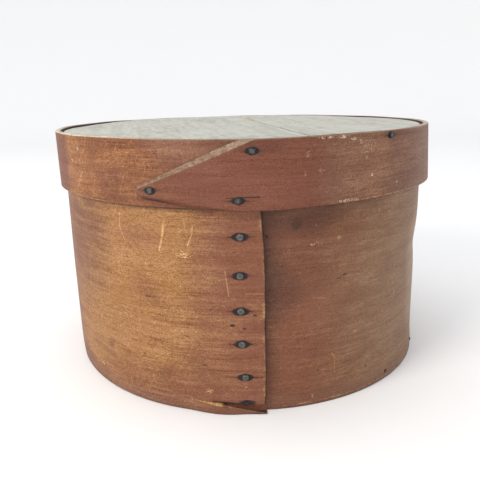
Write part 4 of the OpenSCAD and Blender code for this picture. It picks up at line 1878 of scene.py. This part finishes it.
BODY_FINISH = BodyFinish(
    name="body_varnish",
    palette=WoodPalette(
        varnish=linear(117, 73, 50), worn=linear(146, 103, 61), faded=linear(133, 102, 76),
        ruddy=linear(124, 78, 58), deep=linear(60, 38, 32), line=linear(98, 56, 40),
        pale=linear(196, 156, 102), chip=linear(204, 164, 112), edge=linear(146, 112, 78),
        bare=linear(156, 112, 76),
    ),
    marks=WoodMarks(
        worn=spots(
            (-40, 66, 62, 95, 0.75), (-22, 100, 34, 16, 0.35), (-38, 50, 30, 44, 0.15),
            (-13, 26, 30, 30, 0.25), (-14, 82, 18, 40, 0.4), (-3, 50, 26, 100, 0.1), (14, 70, 26, 90, -0.3),
            (-52, 86, 38, 50, -0.42), (170, 60, 110, 80, 0.25), (-120, 80, 90, 70, 0.2),
            (-19, 40, 18, 13, -0.15), (-21, 88, 18, 14, 0.25), (-36, 66, 14, 14, 0.25), (2, 95, 13, 30, -0.4),
            (-10, 46, 12, 12, 0.3), (-18, 70, 16, 12, 0.3), (-16, 106, 14, 9, 0.3), (-23, 98, 12, 9, 0.25),
            (1, 12, 14, 14, -0.3)),
        rough=spots((-35, 66, 95, 130, 0.55), (-3, 55, 30, 120, -0.2)),
        ruddy=spots((-1, 55, 34, 120, 0.75), (-28, 96, 22, 9, 0.5), (12, 70, 22, 60, 0.5),
                    (-28, 12, 52, 18, 0.45)),
        faded=spots((66, 50, 105, 140, 1.0), (-76, 70, 36, 130, 0.25), (-150, 60, 80, 110, 0.5)),
        # dirt, and painted shade under the lid's rim (about 104 to 111 high) and beside the lap's end
        dirt_and_shade=spots(
            (15, 107, 30, 13, 0.55), (33, 111, 34, 8, 0.25), (9, 66, 14, 20, 0.5), (13.3, 103, 3.5, 4.5, 0.4),
            (-50, 88, 30, 45, 0.25), (15, 82, 24, 28, 0.3), (-41.7, 28.4, 4, 5, 0.45),
            (-22.7, 18.7, 6, 4, 0.35), (18, 104, 17, 5, 0.2), (-34, 3, 30, 9, 0.15)),
        # the last two darken the split by the foot nail with painted shade
        dents_and_gap_shade=spots(
            (-3.3, 51.2, 1.6, 0.8, 1.0), (-0.3, 49.3, 1.3, 0.7, 0.7), (2.4, 56.6, 1.3, 0.6, 0.9),
            (-8.6, 59.7, 0.8, 0.5, 0.7), (-12.5, 58.1, 0.7, 0.5, 0.6), (-10.8, 28.1, 2.2, 0.5, 0.7),
            (-25.7, 63.9, 2.2, 0.8, 0.5), (-24.3, 81.2, 1.8, 0.7, 0.5), (-28.1, 29.8, 1.1, 0.7, 0.6),
            (27.4, 72.6, 2.0, 0.6, 0.8), (25.6, 71.0, 2.0, 0.5, 0.7), (9.6, 81.4, 1.0, 0.6, 0.6),
            (5.6, 97.5, 0.8, 0.8, 0.9), (35.9, 14.8, 0.9, 0.8, 0.9), (19.5, 20.4, 0.7, 0.5, 0.8),
            (42.4, 18.2, 0.8, 0.6, 0.6), (26.5, 23.0, 0.5, 0.4, 0.7), (0.1, 6.5, 5.2, 2.0, 1.0),
            (-5.0, 5.7, 3.8, 1.3, 1.0)),
        chips=spots(
            (-15.0, 88.2, 5.5, 1.8, 0.75), (-14.9, 90.5, 3.0, 0.8, 0.6), (-9.8, 13.0, 3.0, 2.2, 0.7),
            (-0.1, 15.5, 0.9, 0.9, 0.9), (-47.9, 11.1, 1.5, 2.4, 0.7), (18.1, 5.5, 0.8, 1.4, 0.9),
            (25.3, 93.7, 1.2, 1.4, 0.5), (17.6, 91.5, 1.8, 0.8, 0.5), (45.5, 86.0, 0.9, 0.8, 0.5),
            (19.5, 92.4, 3.0, 2.4, 0.2), (31.5, 38.5, 1.6, 1.2, 0.45), (27.3, 36.7, 1.0, 0.8, 0.4),
            (49.1, 52.3, 1.0, 2.0, 0.35), (20.2, 62.3, 1.2, 0.6, 0.4)),
        strokes=scratches(
            (-33.6, 107.1, -33.9, 100.6, 0.5, 0.6), (-33.9, 100.6, -32.2, 91.9, 0.5, 0.6),
            (-20.0, 104.5, -20.4, 98.2, 0.95, 0.75), (-20.4, 98.2, -21.6, 89.6, 0.85, 0.7),
            (-14.6, 107.5, -14.3, 101.8, 0.5, 0.4), (-12.4, 103.9, -12.7, 99.1, 0.5, 0.55),
            (-12.7, 99.1, -14.0, 93.2, 0.5, 0.65), (-4.8, 80.4, -4.0, 67.2, 0.45, 0.42),
            (0.0, 68.4, 4.6, 68.1, 0.4, 0.5), (-50.4, 67.5, -51.4, 58.6, 0.6, 0.35),
            (23.7, 29.1, 24.7, 26.0, 0.45, 0.45), (24.7, 26.0, 24.8, 16.9, 0.45, 0.4),
            (39.1, 108.3, 39.3, 102.2, 0.5, 0.3), (17.9, 62.4, 21.6, 61.3, 0.45, 0.3),
            (29.7, 90.3, 40.0, 87.9, 0.45, 0.22), (40.0, 87.9, 61.8, 85.5, 0.45, 0.22)),
        # the second cut is painted shade along the split's gap
        cuts_and_gap_shade=scratches((1.8, 21.4, 4.1, 21.1, 0.45, 0.7), (-9.0, 6.5, -1.6, 5.8, 1.0, 1.0)),
    ),
    worn_bias=0.15,
    cloudy=1.0,
)

LID_FINISH = LidFinish(
    name="lid_varnish",
    palette=WoodPalette(
        varnish=linear(106, 62, 42), worn=linear(143, 94, 50), faded=linear(131, 98, 80),
        ruddy=linear(114, 67, 52), deep=linear(58, 36, 30), line=linear(88, 49, 36),
        pale=linear(186, 148, 104), chip=linear(206, 190, 162), edge=linear(130, 106, 82),
        bare=linear(150, 118, 84),
    ),
    marks=WoodMarks(
        worn=spots((-46, 130, 66, 60, 0.46), (5, 130, 60, 60, -0.25), (350, 145, 28, 12, 0.15),
                   (31, 130, 26, 34, 0.3), (-66, 130, 26, 60, -0.75)),
        rough=spots((-50, 130, 80, 90, 0.75), (38, 130, 60, 90, 0.3), (0, 130, 60, 60, -0.1)),
        ruddy=spots((2, 132, 46, 60, 0.6), (348, 141, 36, 22, 0.4)),
        faded=spots((72, 130, 75, 90, 0.85), (30, 130, 34, 60, 0.5), (-80, 130, 35, 90, 0.3),
                    (349, 145, 30, 14, 0.5)),
        dirt_and_shade=spots((4, 143, 14, 5, 0.5), (357, 146, 10, 4, 0.4)),
        dents_and_gap_shade=spots((48.2, 135.3, 0.4, 1.4, 0.7), (52.7, 123.9, 0.4, 1.2, 0.7)),
        chips=spots(
            (23.1, 145.9, 4.5, 1.0, 0.9), (25.9, 144.6, 2.5, 1.0, 0.5), (28.2, 142.9, 2.0, 1.2, 0.7),
            (31.0, 139.5, 7.0, 6.0, 0.1), (30.2, 135.3, 1.2, 1.2, 0.9), (32.3, 125.8, 1.3, 1.2, 1.0),
            (14.2, 138.8, 1.2, 1.9, 0.22), (17.5, 130.3, 2.0, 1.7, 0.2), (13.6, 129.6, 0.9, 1.6, 0.2),
            (42.8, 119.5, 1.2, 0.7, 0.6), (-47.5, 140.0, 1.3, 2.0, 0.8), (-51.7, 133.1, 0.9, 1.4, 0.6),
            (24.5, 114.5, 9.0, 0.9, 0.6), (18.6, 146.0, 5.0, 0.8, 0.7)),
        strokes=scratches((-45.9, 127.6, -50.4, 115.6, 0.8, 0.4)),
        cuts_and_gap_shade=scratches((-3.6, 119.2, -1.4, 119.1, 0.4, 0.7), (-0.6, 119.3, 3.6, 119.4, 0.55, 0.95)),
    ),
    worn_bias=0.14,
    cloudy=0.68,
    stain_size=3.3,
)


def main() -> None:
    """Builds the box piece by piece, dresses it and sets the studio."""
    logging.basicConfig(level=logging.INFO, format="%(name)s: %(message)s")
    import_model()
    heights = {node: [corner.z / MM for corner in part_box(node)]
               for node in ("body_hoop", "bottom_board", "lid_hoop", "lid_board")}
    body = BodyHoop(high=heights["body_hoop"][1])
    lid_low, lid_high = heights["lid_hoop"]
    lid = LidHoop(under=body, inner_r=0.5 * BODY_DIAMETER + LID_CLEAR, low=lid_low, high=lid_high)
    bottom_high = heights["bottom_board"][1]
    board_low, board_high = heights["lid_board"]
    plan = NailPlan()
    body_row, body_foot, body_ring = plan.on_body(0.5 * bottom_high)
    lid_lap, lid_lap_board, lid_ring = plan.on_lid(lid_low, 0.5 * (board_low + board_high))
    BODY_FINISH.dress(body.build(), body, body_row)
    LOG.info("body hoop built")
    LID_FINISH.dress(lid.build(), lid, lid_lap + lid_lap_board + lid_ring)
    LOG.info("lid hoop built")
    bottom = Board(name="bottom_board_round", node="bottom_board", slot="board_wood", hoop=body, low=0.0,
                   high=bottom_high, lean=14.0)
    BoardFinish(name="bottom_wood", lean=bottom.lean).dress(bottom.build())
    LOG.info("bottom board built")
    cover = LidBoard(name="lid_board_round", node="lid_board", slot="lid_board_wood", hoop=lid, low=board_low,
                     high=board_high, lean=9.2)
    PaleBoardFinish(name="lid_board_pale", lean=cover.lean, face_from=board_high - 1.5).dress(cover.build())
    LOG.info("lid board built")
    kinds = (NailSet(node="body_lap_nails", hoop=body, places=body_row),
             NailSet(node="body_foot_nail", hoop=body, places=body_foot, head_r=1.5, head_h=0.4, worn=0.1),
             NailSet(node="bottom_board_nails", hoop=body, places=body_ring, head_r=1.1, head_h=0.5,
                     worn=0.2),
             NailSet(node="lid_lap_nails", hoop=lid, places=lid_lap, worn=0.25),
             NailSet(node="lid_lap_board_nail", hoop=lid, places=lid_lap_board, worn=0.3),
             NailSet(node="lid_board_nails", hoop=lid, places=lid_ring, head_r=1.8, worn=0.3))
    IronFinish().dress([kind.build() for kind in kinds])
    LOG.info("%d kinds of nail built", len(kinds))
    studio = Studio()
    studio.camera()
    studio.lights()
    studio.sweep()


if __name__ == "__main__":
    main()
